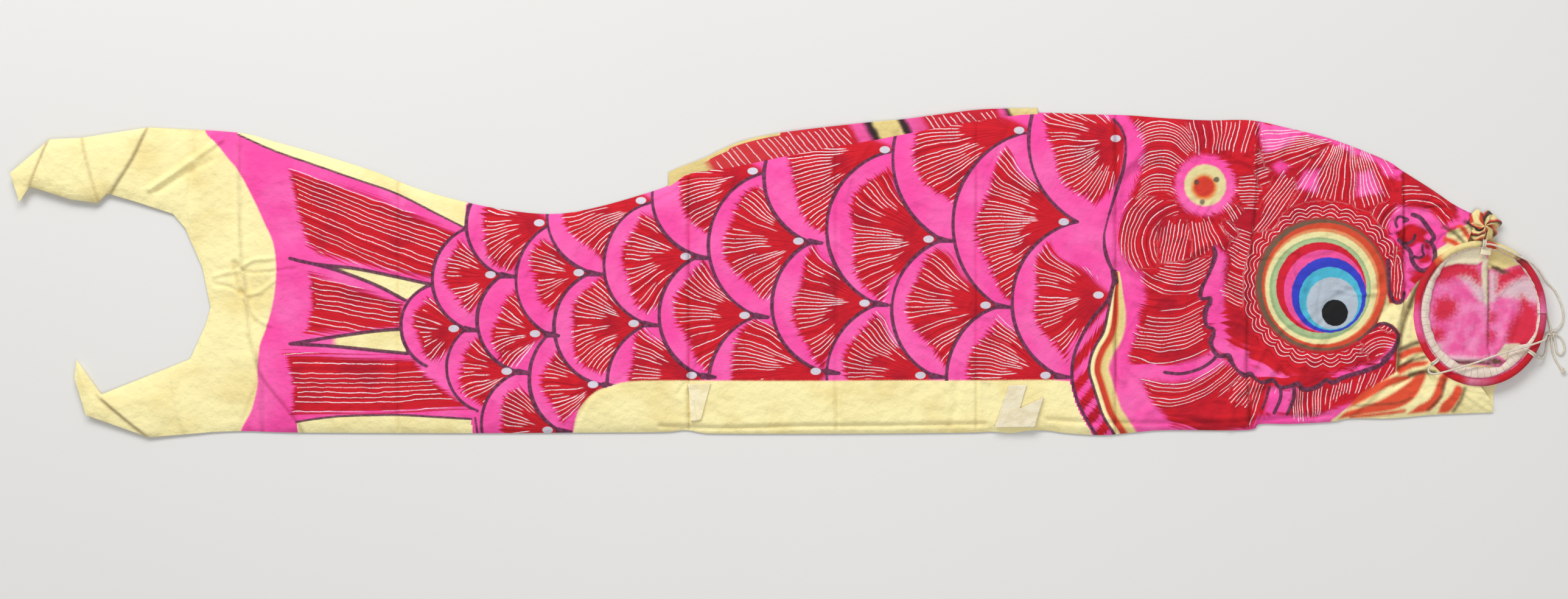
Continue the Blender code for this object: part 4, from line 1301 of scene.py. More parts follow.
# Creases: their line, their height (negative for a furrow), half their width, and how dark their wear and
# painted shade make the paint
CREASES = (
    (((-534, 140), (-534, 60), (-532, 20), (-528, -12), (-524, -60), (-513, -100), (-512, -156)),
     1.9, 2.2, 0.45),
    (((-378, 95), (-378, -160)), -1.5, 2.0, 0.35),
    (((-235, 62), (-235, -160)), -0.8, 1.8, 0.1),
    (((-92, 104), (-92, -160)), -2.2, 2.0, 0.75),
    (((53, 130), (53, -160)), -1.4, 1.8, 0.4),
    (((191, 155), (191, -160)), -1.3, 1.8, 0.4),
    (((328, 158), (328, -160)), -2.4, 2.1, 0.9),
    (((469, 152), (467, 90), (463, 40), (459, 0), (457, -50), (457, -100), (461, -156)), -1.6, 1.7, 0.95),
    (((612, 102), (611, 20), (613, -25)), -1.6, 1.6, 1.0),
    (((603, 40), (607, 36), (612, 29)), -2.2, 2.4, 1.0),
    (((594, 39), (604, 40), (612, 44)), 1.4, 1.8, 0.2),
    (((617, 3), (626, 1), (636, -2)), -1.2, 1.2, 0.9),
    (((632, 64), (644, 65), (656, 64)), -1.2, 1.4, 0.9),
    (((466, 12), (480, 13), (494, 14), (504, 19)), -1.0, 1.3, 0.8),
    (((440, 58), (452, 66), (462, 78)), -1.2, 1.8, 0.6),
    (((404, 20), (424, 30), (444, 20)), 1.0, 3.2, 0.0),
    (((560, -140), (590, -112), (606, -98)), 1.4, 2.6, 0.15),
    (((-120, -151), (-60, -153), (20, -151), (100, -150.5), (200, -149)), -1.9, 2.4, 0.12),
    (((262, -145), (330, -148), (440, -147), (540, -140)), -1.6, 2.6, 0.10),
    (((-70, 100), (-60, 88), (-56, 74)), 1.3, 2.2, 0.0),
    (((-50, 102), (-47, 90), (-50, 78)), -1.0, 2.2, 0.2),
    (((-534, 4), (-520, 12), (-500, 14)), 1.7, 2.0, 0.2),
    (((-532, 2), (-516, 0), (-478, 4)), -1.3, 1.5, 0.3),
    (((-530, -22), (-516, -20), (-500, -8)), 1.6, 2.0, 0.15),
    (((-530, -24), (-518, -44), (-504, -52)), 1.5, 2.0, 0.2),
    (((-532, 2), (-546, 0), (-560, -4)), 1.3, 2.0, 0.15),
    (((-530, -22), (-544, -14), (-558, -12)), -1.4, 1.8, 0.25),
    (((-534, 4), (-540, 10), (-536, -12), (-530, -22)), -1.8, 2.2, 0.45),
    (((-622, 82), (-590, 104), (-552, 131)), 2.2, 2.8, 0.0),
    (((-616, 80), (-590, 96), (-560, 112)), -1.2, 3.0, 0.1),
    (((-577, 141), (-582, 90), (-590, 48)), -1.0, 3.0, 0.05),
    (((-600, -95), (-596, -125), (-588, -157)), 1.6, 3.2, 0.0),
    (((-514, -104), (-524, -130), (-533, -155)), -1.2, 2.0, 0.1),
    (((-300, 67), (-304, 40), (-312, 20)), 0.8, 3.0, 0.0),
    (((-258, 60), (-248, 40), (-250, 24)), -0.9, 2.4, 0.1),
    (((-206, -158), (-198, -138), (-186, -118)), -1.2, 2.2, 0.15),
    (((627, -8), (621, -22), (612, -42), (607, -62), (606, -96)), -3.4, 2.8, 0.8),
    (((640, -2), (628, -16), (619, -36), (616, -60)), 2.0, 3.2, 0.0),
    (((606, -96), (622, -84), (634, -76)), -2.6, 2.2, 0.4),
    (((602, -112), (618, -102), (636, -96)), -2.0, 2.2, 0.3),
    (((668, -117), (684, -128), (697, -137)), 1.6, 1.8, 0.1),
    (((668, -116), (690, -120), (700, -124)), -0.8, 1.6, 0.1),
    (((640, 82), (655, 62), (676, 50)), 1.4, 2.4, 0.0),
    (((653, 40), (668, 44), (681, 49)), 2.0, 1.6, 0.3),
    (((655, 24), (668, 34), (680, 42)), -2.0, 2.2, 0.3),
)
FOLD_STEPS = (  # where cloth overlaps: the line, how far its left side is raised and over what reach, and how dark the painted shadow along it is
    (((-668, 60), (-664, 74), (-640, 112), (-622, 152)), 2.4, 30.0, 0.9),
    (((-716, 142), (-730, 108), (-742, 78)), 1.8, 34.0, 0.8),
    (((-670, 58), (-684, 108), (-692, 142)), 2.0, 34.0, 0.5),
    (((-676, -118), (-646, -144), (-616, -168)), 2.2, 26.0, 0.9),
    (((-468, -166), (-482, -142), (-514, -101), (-518, -74)), 2.2, 24.0, 0.9),
    (((604, -104), (611, -28), (610, 20), (611, 112)), 1.8, 16.0, 0.5),
    (((461, -166), (457, -100), (459, 0), (467, 90), (469, 162)), 1.8, 15.0, 0.4),
    (((330, -166), (327, -60), (330, 40), (328, 168)), 1.2, 13.0, 0.0),
)
MOUTH_MIDDLE = 596.0  # the mouth's mesh is made of two grids, which meet here
WRINKLE_COUNT, HEAD_WRINKLE_COUNT, HEAD_FOLD_COUNT = 90, 75, 44
HEAD_FOLDS_NEAR = (345.0, 460.0, 535.0, 611.0, 640.0)
CREASE_GAIN = 1.5
CREASE_DIP = (0.38, 3.2)  # the shallow dip beside a crease: its share of the height, and of the width
WEAR_AND_SHADE_REACH = 1.1  # half the width of the worn and painted-shade band along a crease
TIP_CURLS = ((5.0, 590.0, 755.0), (1.6, 520.0, 640.0))  # rise, where it starts and ends behind the mark
TAIL_THINS = (470.0, 590.0)  # behind the mark, where the two cloths come to lie closer
HEAD_BEGINS = (330.0, 480.0)
SWELLS = ((0.75, 0.7, 70.0, 11), (0.3, 0.35, 26.0, 12))  # height, how much more on the head, size, seed
HOOP_DRAPE = 9.0  # the near side comes down from the casing over this length
HOLLOW_SHADE = 0.42  # the most that painted shade darkens the paint in a hollow


def edge_height(line, x):
    return np.interp(x, line[:, 0], line[:, 1])


def lobe_lift(x, y):
    """The tips of the tail curl up off the floor."""
    return sum(rise * soft_step(-x, start, end) for rise, start, end in TIP_CURLS)


def short_line(x, y, heading, size, bend):
    dx, dy = math.cos(heading) * size, math.sin(heading) * size
    return (x - dx, y - dy), (x - dy * bend, y + dx * bend), (x + dx, y + dy)


def wrinkles():
    """Small folds scattered over the cloth, mostly across its length, with more on the head."""
    rng = np.random.default_rng(21)
    made = []
    for _ in range(WRINKLE_COUNT):
        x, y = rng.uniform(-540, 640), rng.uniform(-150, 150)
        heading, size = rng.normal(math.pi / 2.0, 0.7), rng.uniform(12.0, 45.0)
        line = short_line(x, y, heading, size, rng.uniform(-0.25, 0.25))
        made.append((line, rng.uniform(-1.0, 1.0), rng.uniform(1.8, 4.2), 0.0))
    for _ in range(HEAD_WRINKLE_COUNT):
        x, y = rng.uniform(335, 660), rng.uniform(-140, 145)
        line = short_line(x, y, rng.uniform(0.0, math.pi), rng.uniform(8.0, 26.0), 0.2)
        made.append((line, rng.uniform(-1.5, 1.5), rng.uniform(1.5, 3.2), 0.0))
    for _ in range(HEAD_FOLD_COUNT):
        x, y = rng.choice(HEAD_FOLDS_NEAR) + rng.normal(0.0, 22.0), rng.uniform(-145, 140)
        line = short_line(x, y, rng.normal(math.pi / 2.0, 0.9), rng.uniform(14.0, 42.0), 0.25)
        made.append((line, rng.choice((-1.0, 1.0)) * rng.uniform(0.9, 2.0), rng.uniform(3.2, 6.0), 0.0))
    return made


def left_of(x, y, line):
    """Distance from a line, positive to its left, and where along it, from 0 to 1, each point is."""
    line = np.array(line, float)
    runs = runs_along(line)
    best, signed, along = np.full(x.shape, FAR_AWAY), np.full(x.shape, -FAR_AWAY), np.zeros(x.shape)
    for i in range(len(line) - 1):
        (ax, ay), (dx, dy) = line[i], line[i + 1] - line[i]
        t = np.clip(((x - ax) * dx + (y - ay) * dy) / (dx * dx + dy * dy), 0.0, 1.0)
        gap = np.hypot(x - ax - t * dx, y - ay - t * dy)
        closer = gap < best
        side = np.where(dx * (y - ay) - dy * (x - ax) > 0.0, 1.0, -1.0)
        best = np.where(closer, gap, best)
        signed = np.where(closer, gap * side, signed)
        along = np.where(closer, (runs[i] + t * (runs[i + 1] - runs[i])) / runs[-1], along)
    return signed, along


def crease_relief(x, y):
    """Height of the creases at each point, and how dark wear and painted shade make the paint along them,
    with painted shade in the hollows and beside overlapping folds.
    """
    rise, wear = np.zeros(x.shape), np.zeros(x.shape)
    for line, height, half, dark in CREASES + tuple(wrinkles()):
        gap = distance_to(x, y, smooth_line(line, 4))
        bump = np.exp(-((gap / half) ** 2)) - CREASE_DIP[0] * np.exp(-((gap / (CREASE_DIP[1] * half)) ** 2))
        rise += CREASE_GAIN * height * bump * (gap < FAR_AWAY)
        if dark:
            width = WEAR_AND_SHADE_REACH + 0.4 * wavy(x, y, 16.0, 3)
            broken = np.clip(0.75 + 0.35 * wavy(x, y, 30.0, 9), 0.0, 1.0)
            wear = np.maximum(wear, dark * broken * np.exp(-((gap / np.maximum(width, 0.3)) ** 2)))
    # painted shade in the hollows of the relief
    wear = np.maximum(wear, HOLLOW_SHADE * soft_step(-rise, 0.5, 2.6))
    for line, size, reach, dark in FOLD_STEPS:
        gap, along = left_of(x, y, smooth_line(line, 4))
        ends = np.clip(np.minimum(along, 1.0 - along) * 8.0, 0.0, 1.0)
        rise += size * ends * soft_step(gap, -0.8, 0.8) * np.exp(-np.maximum(gap, 0.0) / reach)
        # painted shadow along the edge of each overlapping fold
        wear = np.maximum(wear, dark * ends * np.exp(-(((gap + 1.0) / 1.7) ** 2)))
    return rise, wear


def edge_gap(x, y):
    """Distance to the nearest sewn or folded edge of the fish."""
    lines = (BACK_LINE, BELLY_LINE, UPPER_LOBE_INSIDE + UPPER_LOBE_OUTSIDE[::-1],
             LOWER_LOBE_INSIDE + LOWER_LOBE_OUTSIDE[::-1])
    return np.min([distance_to(x, y, line) for line in lines], axis=0)


def near_height(x, y):
    gap = edge_gap(x, y)
    top = TOP_HEIGHT - (TOP_HEIGHT - TAIL_HEIGHT) * soft_step(-x, *TAIL_THINS)
    head = soft_step(x, *HEAD_BEGINS)
    for rise, more, size, seed in SWELLS:
        top = top + (rise + more * head) * wavy(x, y, size, seed)
    top = top + 0.5 * wavy(x * 0.35, y, 30.0, 14) * soft_step(gap, 2.0, 20.0)
    rise, wear = crease_relief(x, y)
    full = 1.0 - np.exp(-gap / EDGE_ROUND)
    height = EDGE_HEIGHT + (top - EDGE_HEIGHT) * full + rise * (1.0 - np.exp(-gap / CREASE_ROUND))
    to_hoop = np.hypot((x - HOOP_CENTRE[0]) / HOOP_RADII[0], (y - HOOP_CENTRE[1]) / HOOP_RADII[1])
    to_hoop = (to_hoop - 1.0) * np.mean(HOOP_RADII) - CLOTH_REACH
    near_hoop = np.exp(-((np.maximum(to_hoop, 0.0) / HOOP_DRAPE) ** 2)) * (x > 600.0)
    height = height * (1.0 - near_hoop) + (HOOP_HEIGHT + 0.4 + 0.3 * rise) * near_hoop
    return np.maximum(height, 1.2) + lobe_lift(x, y), wear


def far_height(x, y):
    gap = edge_gap(x, y)
    return 0.45 + 0.5 * np.exp(-gap / 5.0) + 0.12 * wavy(x, y, 50.0, 31) + lobe_lift(x, y), np.zeros(x.shape)


def column_grid(start, end, columns, rows):
    x = np.linspace(start, end, columns)
    low, high = edge_height(BELLY_LINE, x), edge_height(BACK_LINE, x)
    share = np.linspace(0.0, 1.0, rows)
    y = low[:, None] + (high - low)[:, None] * share
    return np.stack([np.repeat(x[:, None], rows, axis=1), y], axis=-1)


def tail_grids(step, rows):
    """The tail's full width, and its two lobes, which share the points of its last column."""
    columns = int((TAIL_SPLIT - LOBE_BASE) / step)
    body = column_grid(LOBE_BASE, TAIL_SPLIT, columns, rows)
    base = body[0]
    split = int(np.argmin(np.abs(base[:, 1] - NOTCH[1])))
    notch = tuple(base[split])
    inside, outside = (notch,) + UPPER_LOBE_INSIDE[1:], (tuple(base[-1]),) + UPPER_LOBE_OUTSIDE[1:]
    upper = patch(inside, outside, (notch, tuple(base[-1])), (inside[-1], outside[-1]),
                  int(UPPER_LOBE_LENGTH / step), rows - split)
    inside, outside = (notch,) + LOWER_LOBE_INSIDE[1:], (tuple(base[0]),) + LOWER_LOBE_OUTSIDE[1:]
    lower = patch(outside, inside, (tuple(base[0]), notch), (outside[-1], inside[-1]),
                  int(LOWER_LOBE_LENGTH / step), split + 1)
    return [body, upper, lower]


def mouth_grids(step, rows, far):
    """From the last crease before the mouth to the hoop's left half, or on under the hoop."""
    back = BACK_LINE[BACK_LINE[:, 0] > HEAD_SPLIT]
    belly = BELLY_LINE[BELLY_LINE[:, 0] > HEAD_SPLIT]
    low = (HEAD_SPLIT, float(edge_height(BELLY_LINE, HEAD_SPLIT)))
    high = (HEAD_SPLIT, float(edge_height(BACK_LINE, HEAD_SPLIT)))
    if far:
        front = smooth_line(FAR_MOUTH_EDGE, 5)
    else:
        angles = np.linspace(*HOOP_ARC, 60)
        arc = np.stack(on_hoop(angles, CLOTH_REACH), axis=-1)
        front = np.vstack([[(700.0, -137.5), (696.0, -124.0)], arc, NEAR_GATHER_EDGE])
    middle = mouth_middle(rows)
    first = patch(np.vstack([[low], belly[belly[:, 0] < MOUTH_MIDDLE], middle[:1]]),
                  np.vstack([[high], back[back[:, 0] < MOUTH_MIDDLE], middle[-1:]]),
                  (low, high), middle, int((MOUTH_MIDDLE - HEAD_SPLIT) / step), rows)
    rest = patch(np.vstack([middle[:1], belly[belly[:, 0] > MOUTH_MIDDLE]]),
                 np.vstack([middle[-1:], back[back[:, 0] > MOUTH_MIDDLE]]),
                 middle, front, int(MOUTH_LENGTH / step), rows)
    return [first, rest]


def mouth_middle(rows):
    x = np.full(rows, MOUTH_MIDDLE)
    low, high = edge_height(BELLY_LINE, MOUTH_MIDDLE), edge_height(BACK_LINE, MOUTH_MIDDLE)
    return np.stack([x, np.linspace(low, high, rows)], axis=-1)


def weld(grids):
    """One mesh in millimetres from grids that meet at their edges."""
    points, faces, count = [], [], 0
    for grid in grids:
        columns, rows = grid.shape[:2]
        points.append(grid.reshape(-1, 2))
        faces.append(grid_faces(columns, rows, first=count))
        count += columns * rows
    points, faces = np.vstack(points), np.vstack(faces)
    key = np.round(points * WELD_PER_MM).astype(np.int64)
    _, kept, which = np.unique(key, axis=0, return_index=True, return_inverse=True)
    faces = which.ravel()[faces]
    proper = [len(set(face)) == 4 for face in faces.tolist()]
    points, faces = points[kept], faces[proper]
    turned = signed_areas(points, faces) < 0.0
    faces[turned] = faces[turned, ::-1]
    return points, faces


def make_side(name, grids, far, look, nodes, bend):
    """One stretch of one side of the cloth, painted and shaped."""
    points, faces = weld(grids)
    x, y = points[:, 0], points[:, 1]
    height, wear = far_height(x, y) if far else near_height(x, y)
    if far:
        faces = faces[:, ::-1]
    piece = make_piece(name, to_frame(x, y, height), faces, look)
    for value_name, values in paint(x, y).items():
        keep_value(piece, value_name, values)
    keep_value(piece, "wear", wear)
    keep_flat(piece, x, y)
    if isinstance(bend, str):
        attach(piece, bend)
    else:
        a, b, start, end = bend
        spot(start, 0.0)
        spot(end, 0.0)
        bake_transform(piece)
    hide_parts(*nodes)
    area = flat_area(x, y, faces) * MM * MM
    return piece


NEAR_ROWS, FAR_ROWS = 178, 90
SECTIONS = (  # piece, splits, CAD node, and the body it rides on or the bend between two bodies
    ("tail", None, "tail", ("rear", "tail", TAIL_CREASE + BEND_REACH, TAIL_CREASE - BEND_REACH)),
    ("rear", (TAIL_SPLIT, REAR_SPLIT), "rear",
     ("front", "rear", REAR_CREASE + BEND_REACH, REAR_CREASE - BEND_REACH)),
    ("front", (REAR_SPLIT, FRONT_SPLIT), "front", "front"),
    ("cheek", (FRONT_SPLIT, HEAD_SPLIT), "head",
     ("front", "head", HEAD_CREASE - BEND_REACH, HEAD_CREASE + BEND_REACH)),
    ("mouth", None, "mouth",
     ("head", "mouth", MOUTH_CREASE - BEND_REACH, MOUTH_CREASE + BEND_REACH)),
)


def make_fish():
    sides = (True, "far_", FAR_STEP, FAR_ROWS), (False, "near_", NEAR_STEP, NEAR_ROWS)
    for far, prefix, step, rows in sides:
        for word, splits, node, bend in SECTIONS:
            if splits:
                grids = [column_grid(*splits, int((splits[1] - splits[0]) / step), rows)]
            elif word == "tail":
                grids = tail_grids(step, rows)
            else:
                grids = mouth_grids(step, rows, far)
            nodes = [prefix + "side_" + node]
            if far and splits:
                nodes += ["back_seam_" + node, "belly_seam_" + node]
            look = HEAD_LOOK if word in ("cheek", "mouth") else BODY_LOOK
            make_side(prefix + word + "_cloth", grids, far, look, nodes, bend)


# ---------------------------------------------------------------- mouth
RING_COLUMNS = 220
CASING_REACH, HEM_REACH = 65.0, 60.0  # radii that turn an angle round the hoop into a length of cloth
SEAM_IN_MOUTH = 696.0  # the lining's seam, seen through the mouth
HEM_SPANS = (  # angle round the hoop in degrees, then how far in the hem starts and ends
    (0, 2.6, 5.4), (25, 2.4, 4.6), (50, 2.4, 4.4), (75, 2.2, 4.2), (100, 2.2, 4.4), (125, 2.4, 6.0),
    (140, 3.6, 9.6), (160, 4.4, 12.2), (180, 4.2, 12.8), (200, 4.4, 12.6), (220, 5.0, 13.0),
    (240, 4.6, 13.6), (258, 4.4, 14.4), (270, 4.6, 15.4), (282, 4.8, 14.4), (292, 5.0, 11.0),
    (302, 5.2, 12.5), (312, 5.4, 18.5), (322, 5.4, 17.5), (330, 4.4, 9.0), (340, 3.2, 6.0),
    (360, 2.6, 5.4),
)
LINING_RED = (
    ((643, 6), (660, 12), (684, 8), (690, -10), (684, -12), (676, -4), (664, -4), (650, -10), (642, -8)),
    ((644, -26), (654, -24), (664, -28), (664, -38), (656, -46), (646, -48), (640, -40)),
    ((638, -56), (650, -54), (652, -64), (640, -70)),
    ((704, -2), (716, 4), (728, 10), (740, -2), (728, -4), (716, -10), (704, -20)),
    ((728, -22), (742, -34), (746, -50), (740, -72), (728, -76), (712, -68), (716, -50), (726, -38)),
    ((697, -38), (704, -42), (700, -48), (696, -47)),
    ((696, -58), (703, -60), (699, -68), (695, -66)),
)
LINING_PALE = (
    ((666, 6), (680, 2), (694, -10), (694, -34), (684, -26), (676, -12), (664, -4)),
    ((706, -12), (728, -2), (740, -4), (746, -30), (728, -28), (714, -24), (704, -24)),
    ((697, 0), (708, 0), (708, -18), (700, -30), (696, -28)),
    ((636, -66), (648, -70), (650, -80), (640, -84)),
    ((654, -82), (690, -84), (700, -82), (700, -88), (664, -88)),
)
LINING_CREAM = (
    ((640, 6), (650, 15), (668, 26), (690, 31), (690, 12), (684, 8), (664, 9), (652, 6)),
    ((690, 20), (695.5, 12), (695.5, -32), (692, -30), (688, 0)),
    ((712, -70), (726, -70), (734, -78), (728, -84), (712, -86), (704, -80)),
)
LINING_YELLOW = (
    ((695, 31), (712, 26), (732, 10), (718, 6), (708, 2), (695, 4)),
    ((664, -90), (700, -92), (704, -97), (680, -99), (664, -95)),
)
# painted shadows: along the seam seen through the mouth, beside a fold and under the hem
LINING_SHADOWS = (
    ((694, -86), (704, -84), (712, -88), (702, -91)),
    ((695, 4), (696.2, 4), (696.2, -30), (695.6, -72), (694.9, -72), (694.9, -30)),
    ((698, 8), (716, 1), (710, -2), (698, 4)),
    ((654, -87), (694, -87.5), (704, -91), (690, -90), (664, -89.5)),
)
LINING_SHAPES = {
    "red": LINING_RED, "pale": LINING_PALE, "cream": LINING_CREAM, "yellow": LINING_YELLOW,
    "dark": LINING_SHADOWS,
}
LINING_FOLDS = (  # lines inside the mouth, their height and half their width
    (((695.5, 8), (695.5, -76)), -2.2, 1.8), (((700, 4), (699, -70)), 1.4, 3.0),
    (((650, 8), (668, 10), (686, 10)), 1.8, 1.8), (((640, -8), (662, -6), (684, -28)), 0.8, 3.0),
    (((664, 2), (684, -14), (690, -40)), 0.8, 2.6), (((697, 10), (712, 3), (724, -4)), 1.8, 1.8),
    (((697, 22), (712, 16), (726, 6)), -1.0, 1.6), (((703, -24), (716, -12), (732, -4)), 1.2, 2.4),
    (((718, -26), (716, -48), (706, -74)), 1.2, 2.6), (((730, -32), (726, -52), (718, -72)), -1.4, 3.0),
    (((742, -30), (736, -54), (726, -70)), 1.0, 3.0), (((652, -84), (676, -85), (700, -84)), 1.6, 1.6),
    (((656, -89), (680, -90), (706, -92)), -1.8, 2.6), (((664, -95), (684, -94), (700, -97)), 1.0, 1.6),
    (((646, -30), (660, -42), (664, -62)), 0.5, 3.4), (((684, -40), (682, -60), (672, -78)), -0.6, 3.0),
)
GATHER_CENTRE = (690.0, 45.5)
GATHER_REACH = 15.5
GATHER_PLEATS = 9.0
TAB_THICKNESS = 0.7
SKIRT_LENGTH = 90.0  # of slack cloth folded away between the near side and the casing


def ring_points(count):
    return np.linspace(0.0, 2.0 * math.pi, count, endpoint=False)


def make_casing():
    """The tube of cloth sewn round the wire, slightly slack and puckered at its seam."""
    angles = ring_points(RING_COLUMNS * 2)
    turn = np.linspace(0.0, 2.0 * math.pi, 20, endpoint=False)
    a, t = angles[:, None], turn[None]
    pucker = 0.16 * np.sin(61.0 * a + 3.0 * np.sin(5.0 * a)) + 0.12 * np.sin(23.0 * a + 1.0)
    size = CASING_RADIUS - 0.25 + pucker * (0.5 - 0.5 * np.cos(t)) + 0.12 * np.sin(3.0 * a)
    x, y = on_hoop(a, size * np.cos(t))
    height = HOOP_HEIGHT + size * np.sin(t)
    points = to_frame(x, y, height).reshape(-1, 3)
    faces = grid_faces(len(angles), len(turn), round_columns=True, round_rows=True)
    piece = make_piece("hoop_casing_cloth", points, faces, CASING_LOOK)
    around = np.repeat(angles * CASING_REACH, len(turn))
    keep_flat(piece, around, np.tile(turn * CASING_RADIUS, len(angles)))
    keep_value(piece, "band", np.repeat(angles / (2.0 * math.pi), len(turn)))
    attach(piece, "hoop")
    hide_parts("hoop_casing")
    return piece


def make_hem():
    angles = ring_points(RING_COLUMNS * 2)
    spans = np.array(HEM_SPANS, float)
    start = np.interp(np.degrees(angles), spans[:, 0], spans[:, 1])
    end = np.interp(np.degrees(angles), spans[:, 0], spans[:, 2])
    share = np.linspace(0.0, 1.0, 9)
    wave = 0.5 * np.sin(angles * 29.0) + 0.4 * np.sin(angles * 11.0 + 1.0)
    inwards = start[:, None] + (end - start + 0.5 * wave)[:, None] * share
    rounded = 0.9 * np.sin(math.pi * share)
    height = HOOP_HEIGHT + 0.4 + rounded - 1.4 * share ** 2 + 0.45 * wave[:, None] * share
    top = np.concatenate([inwards, inwards[:, ::-1]], axis=1)
    both = np.concatenate([height, height[:, ::-1] - 0.5], axis=1)
    points = on_hoop(angles[:, None], -top)
    faces = grid_faces(len(angles), top.shape[1], round_columns=True, round_rows=True)
    points = to_frame(*points, both).reshape(-1, 3)
    piece = make_piece("mouth_hem", points, faces[:, ::-1], HEM_LOOK)
    keep_flat(piece, np.repeat(angles * HEM_REACH, top.shape[1]), top.ravel())
    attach(piece, "hoop")
    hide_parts("hem_tape")
    return piece


def lining_height(x, y, inwards):
    """Low on the far side, and rising to the casing all round."""
    rise = np.exp(-((np.maximum(inwards - 2.0, 0.0) / 6.5) ** 2))
    past_seam = x - SEAM_IN_MOUTH
    left = 4.4 * soft_step(-past_seam, -1.5, 1.5) + 3.0 * soft_step(past_seam, -1.5, 30.0)
    height = 2.0 + 0.6 * left + 0.35 * wavy(x, y, 22.0, 41)
    for line, size, half in LINING_FOLDS:
        gap = distance_to(x, y, smooth_line(line, 5))
        height = height + size * np.exp(-((gap / half) ** 2))
    height = np.clip(height, 1.7, 7.0)
    return height * (1.0 - rise) + (HOOP_HEIGHT - 0.6) * rise


def make_lining():
    angles = ring_points(RING_COLUMNS)
    share = np.linspace(0.0, 1.0, 52)
    rim_x, rim_y = on_hoop(angles, -1.2)
    x = HOOP_CENTRE[0] + (rim_x[:, None] - HOOP_CENTRE[0]) * share
    y = HOOP_CENTRE[1] + (rim_y[:, None] - HOOP_CENTRE[1]) * share
    inwards = (1.0 - share)[None] * np.mean(HOOP_RADII) * np.ones(x.shape)
    x, y, inwards = x.ravel(), y.ravel(), inwards.ravel()
    height = lining_height(x, y, inwards)
    faces = grid_faces(len(angles), len(share), round_columns=True)
    piece = make_piece("mouth_lining", to_frame(x, y, height), faces[:, ::-1], LINING_LOOK)
    for name, shapes in LINING_SHAPES.items():
        depths = [depth_in(x, y, shape) for shape in shapes]
        keep_value(piece, name, np.max(depths, axis=0))
    keep_flat(piece, x, y)
    spot(*HOOP_CENTRE, 3.2)
    spot(*HOOP_CENTRE, 7.2)
    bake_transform(piece)
    return piece


def make_skirt():
    """Slack cloth folded away between the near side and the casing."""
    angles = np.linspace(math.radians(100.0), math.radians(283.0), 120)
    share = np.linspace(0.0, 1.0, 14)
    each = share[None] * np.ones((len(angles), 1))
    x, y = on_hoop(angles[:, None], 2.4 - 0.9 * each)
    points = to_frame(x, y, HOOP_HEIGHT - 1.0 + 2.0 * each).reshape(-1, 3)
    piece = make_piece("mouth_skirt", points, grid_faces(*x.shape), CASING_LOOK)
    keep_value(piece, "band", np.repeat(np.mod(angles, 2.0 * math.pi) / (2.0 * math.pi), len(share)))
    around = np.repeat(angles * CASING_REACH, len(share))
    keep_flat(piece, around, np.tile(share * SKIRT_LENGTH, len(angles)))
    low, high = HOOP_HEIGHT - 0.9, HOOP_HEIGHT + 0.9
    spot(*HOOP_CENTRE, low)
    spot(*HOOP_CENTRE, high)
    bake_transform(piece)
    return piece


def make_gather():
    """Cloth at the back of the mouth, bunched into the tie at the top of the hoop."""
    angles = ring_points(180)
    share = np.linspace(0.0, 1.0, 34)
    a, s = angles[:, None], share[None]
    uneven = 0.10 * np.sin(3.0 * a + 0.6) + 0.09 * np.sin(7.0 * a) + 0.05 * np.sin(11.0 * a)
    reach = GATHER_REACH * (1.0 + uneven)
    swirl = a + 0.5 * s + 0.2 * np.sin(4.0 * s + a)
    x = GATHER_CENTRE[0] + reach * s * np.cos(a)
    y = GATHER_CENTRE[1] + 1.05 * reach * s * np.sin(a)
    pleat = np.cos(GATHER_PLEATS * swirl) + 0.5 * np.cos(5.0 * swirl + 1.0)
    dome = np.sqrt(np.clip(1.0 - (0.97 * s) ** 2, 0.0, 1.0))
    height = 2.0 + dome * (10.6 + 2.0 * pleat * soft_step(s, 0.05, 0.4)) - 1.2 * (1.0 - s)
    points = to_frame(x, y, height).reshape(-1, 3)
    faces = grid_faces(len(angles), len(share), round_columns=True)[:, ::-1]
    piece = make_piece("back_gather_cloth", points, faces, GATHER_LOOK)
    keep_flat(piece, x.ravel(), y.ravel())
    band = np.mod(swirl / (2.0 * math.pi) + 0.12 * s, 1.0)
    folded = np.abs(np.mod(band * 2.0, 2.0) - 1.0)
    keep_value(piece, "band", (folded * np.ones(x.shape)).ravel())
    spot(690.0, 62.0)
    spot(690.0, 31.0)
    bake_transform(piece)
    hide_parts("back_gather")
    return piece


def make_white_tab():
    """A folded scrap of white cloth sewn under the top of the hoop."""
    grid = patch(((686.0, 17.5), (696.5, 17.0)), ((688.0, 28.0), (697.5, 25.5)),
                 ((686.0, 17.5), (688.0, 28.0)), ((696.5, 17.0), (697.5, 25.5)), 14, 14)
    x, y = grid[..., 0].ravel(), grid[..., 1].ravel()
    height = HOOP_HEIGHT + 1.6 + 0.25 * wavy(x, y, 8.0, 51) - 0.08 * (28.0 - y)
    points, faces = two_layers(x, y, height, TAB_THICKNESS, 14, 14)
    piece = make_piece("mouth_tab", points, faces, TAB_LOOK)
    keep_flat(piece, np.tile(x, 2), np.tile(y, 2))
    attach(piece, "hoop")
    return piece


for node, look in (("hoop_wire", WIRE_LOOK), ("hoop_sleeve", SLEEVE_LOOK)):
    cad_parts[node].data.materials.clear()
    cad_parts[node].data.materials.append(look)
make_casing()
make_hem()
make_lining()
make_skirt()
make_gather()
make_white_tab()
make_fish()


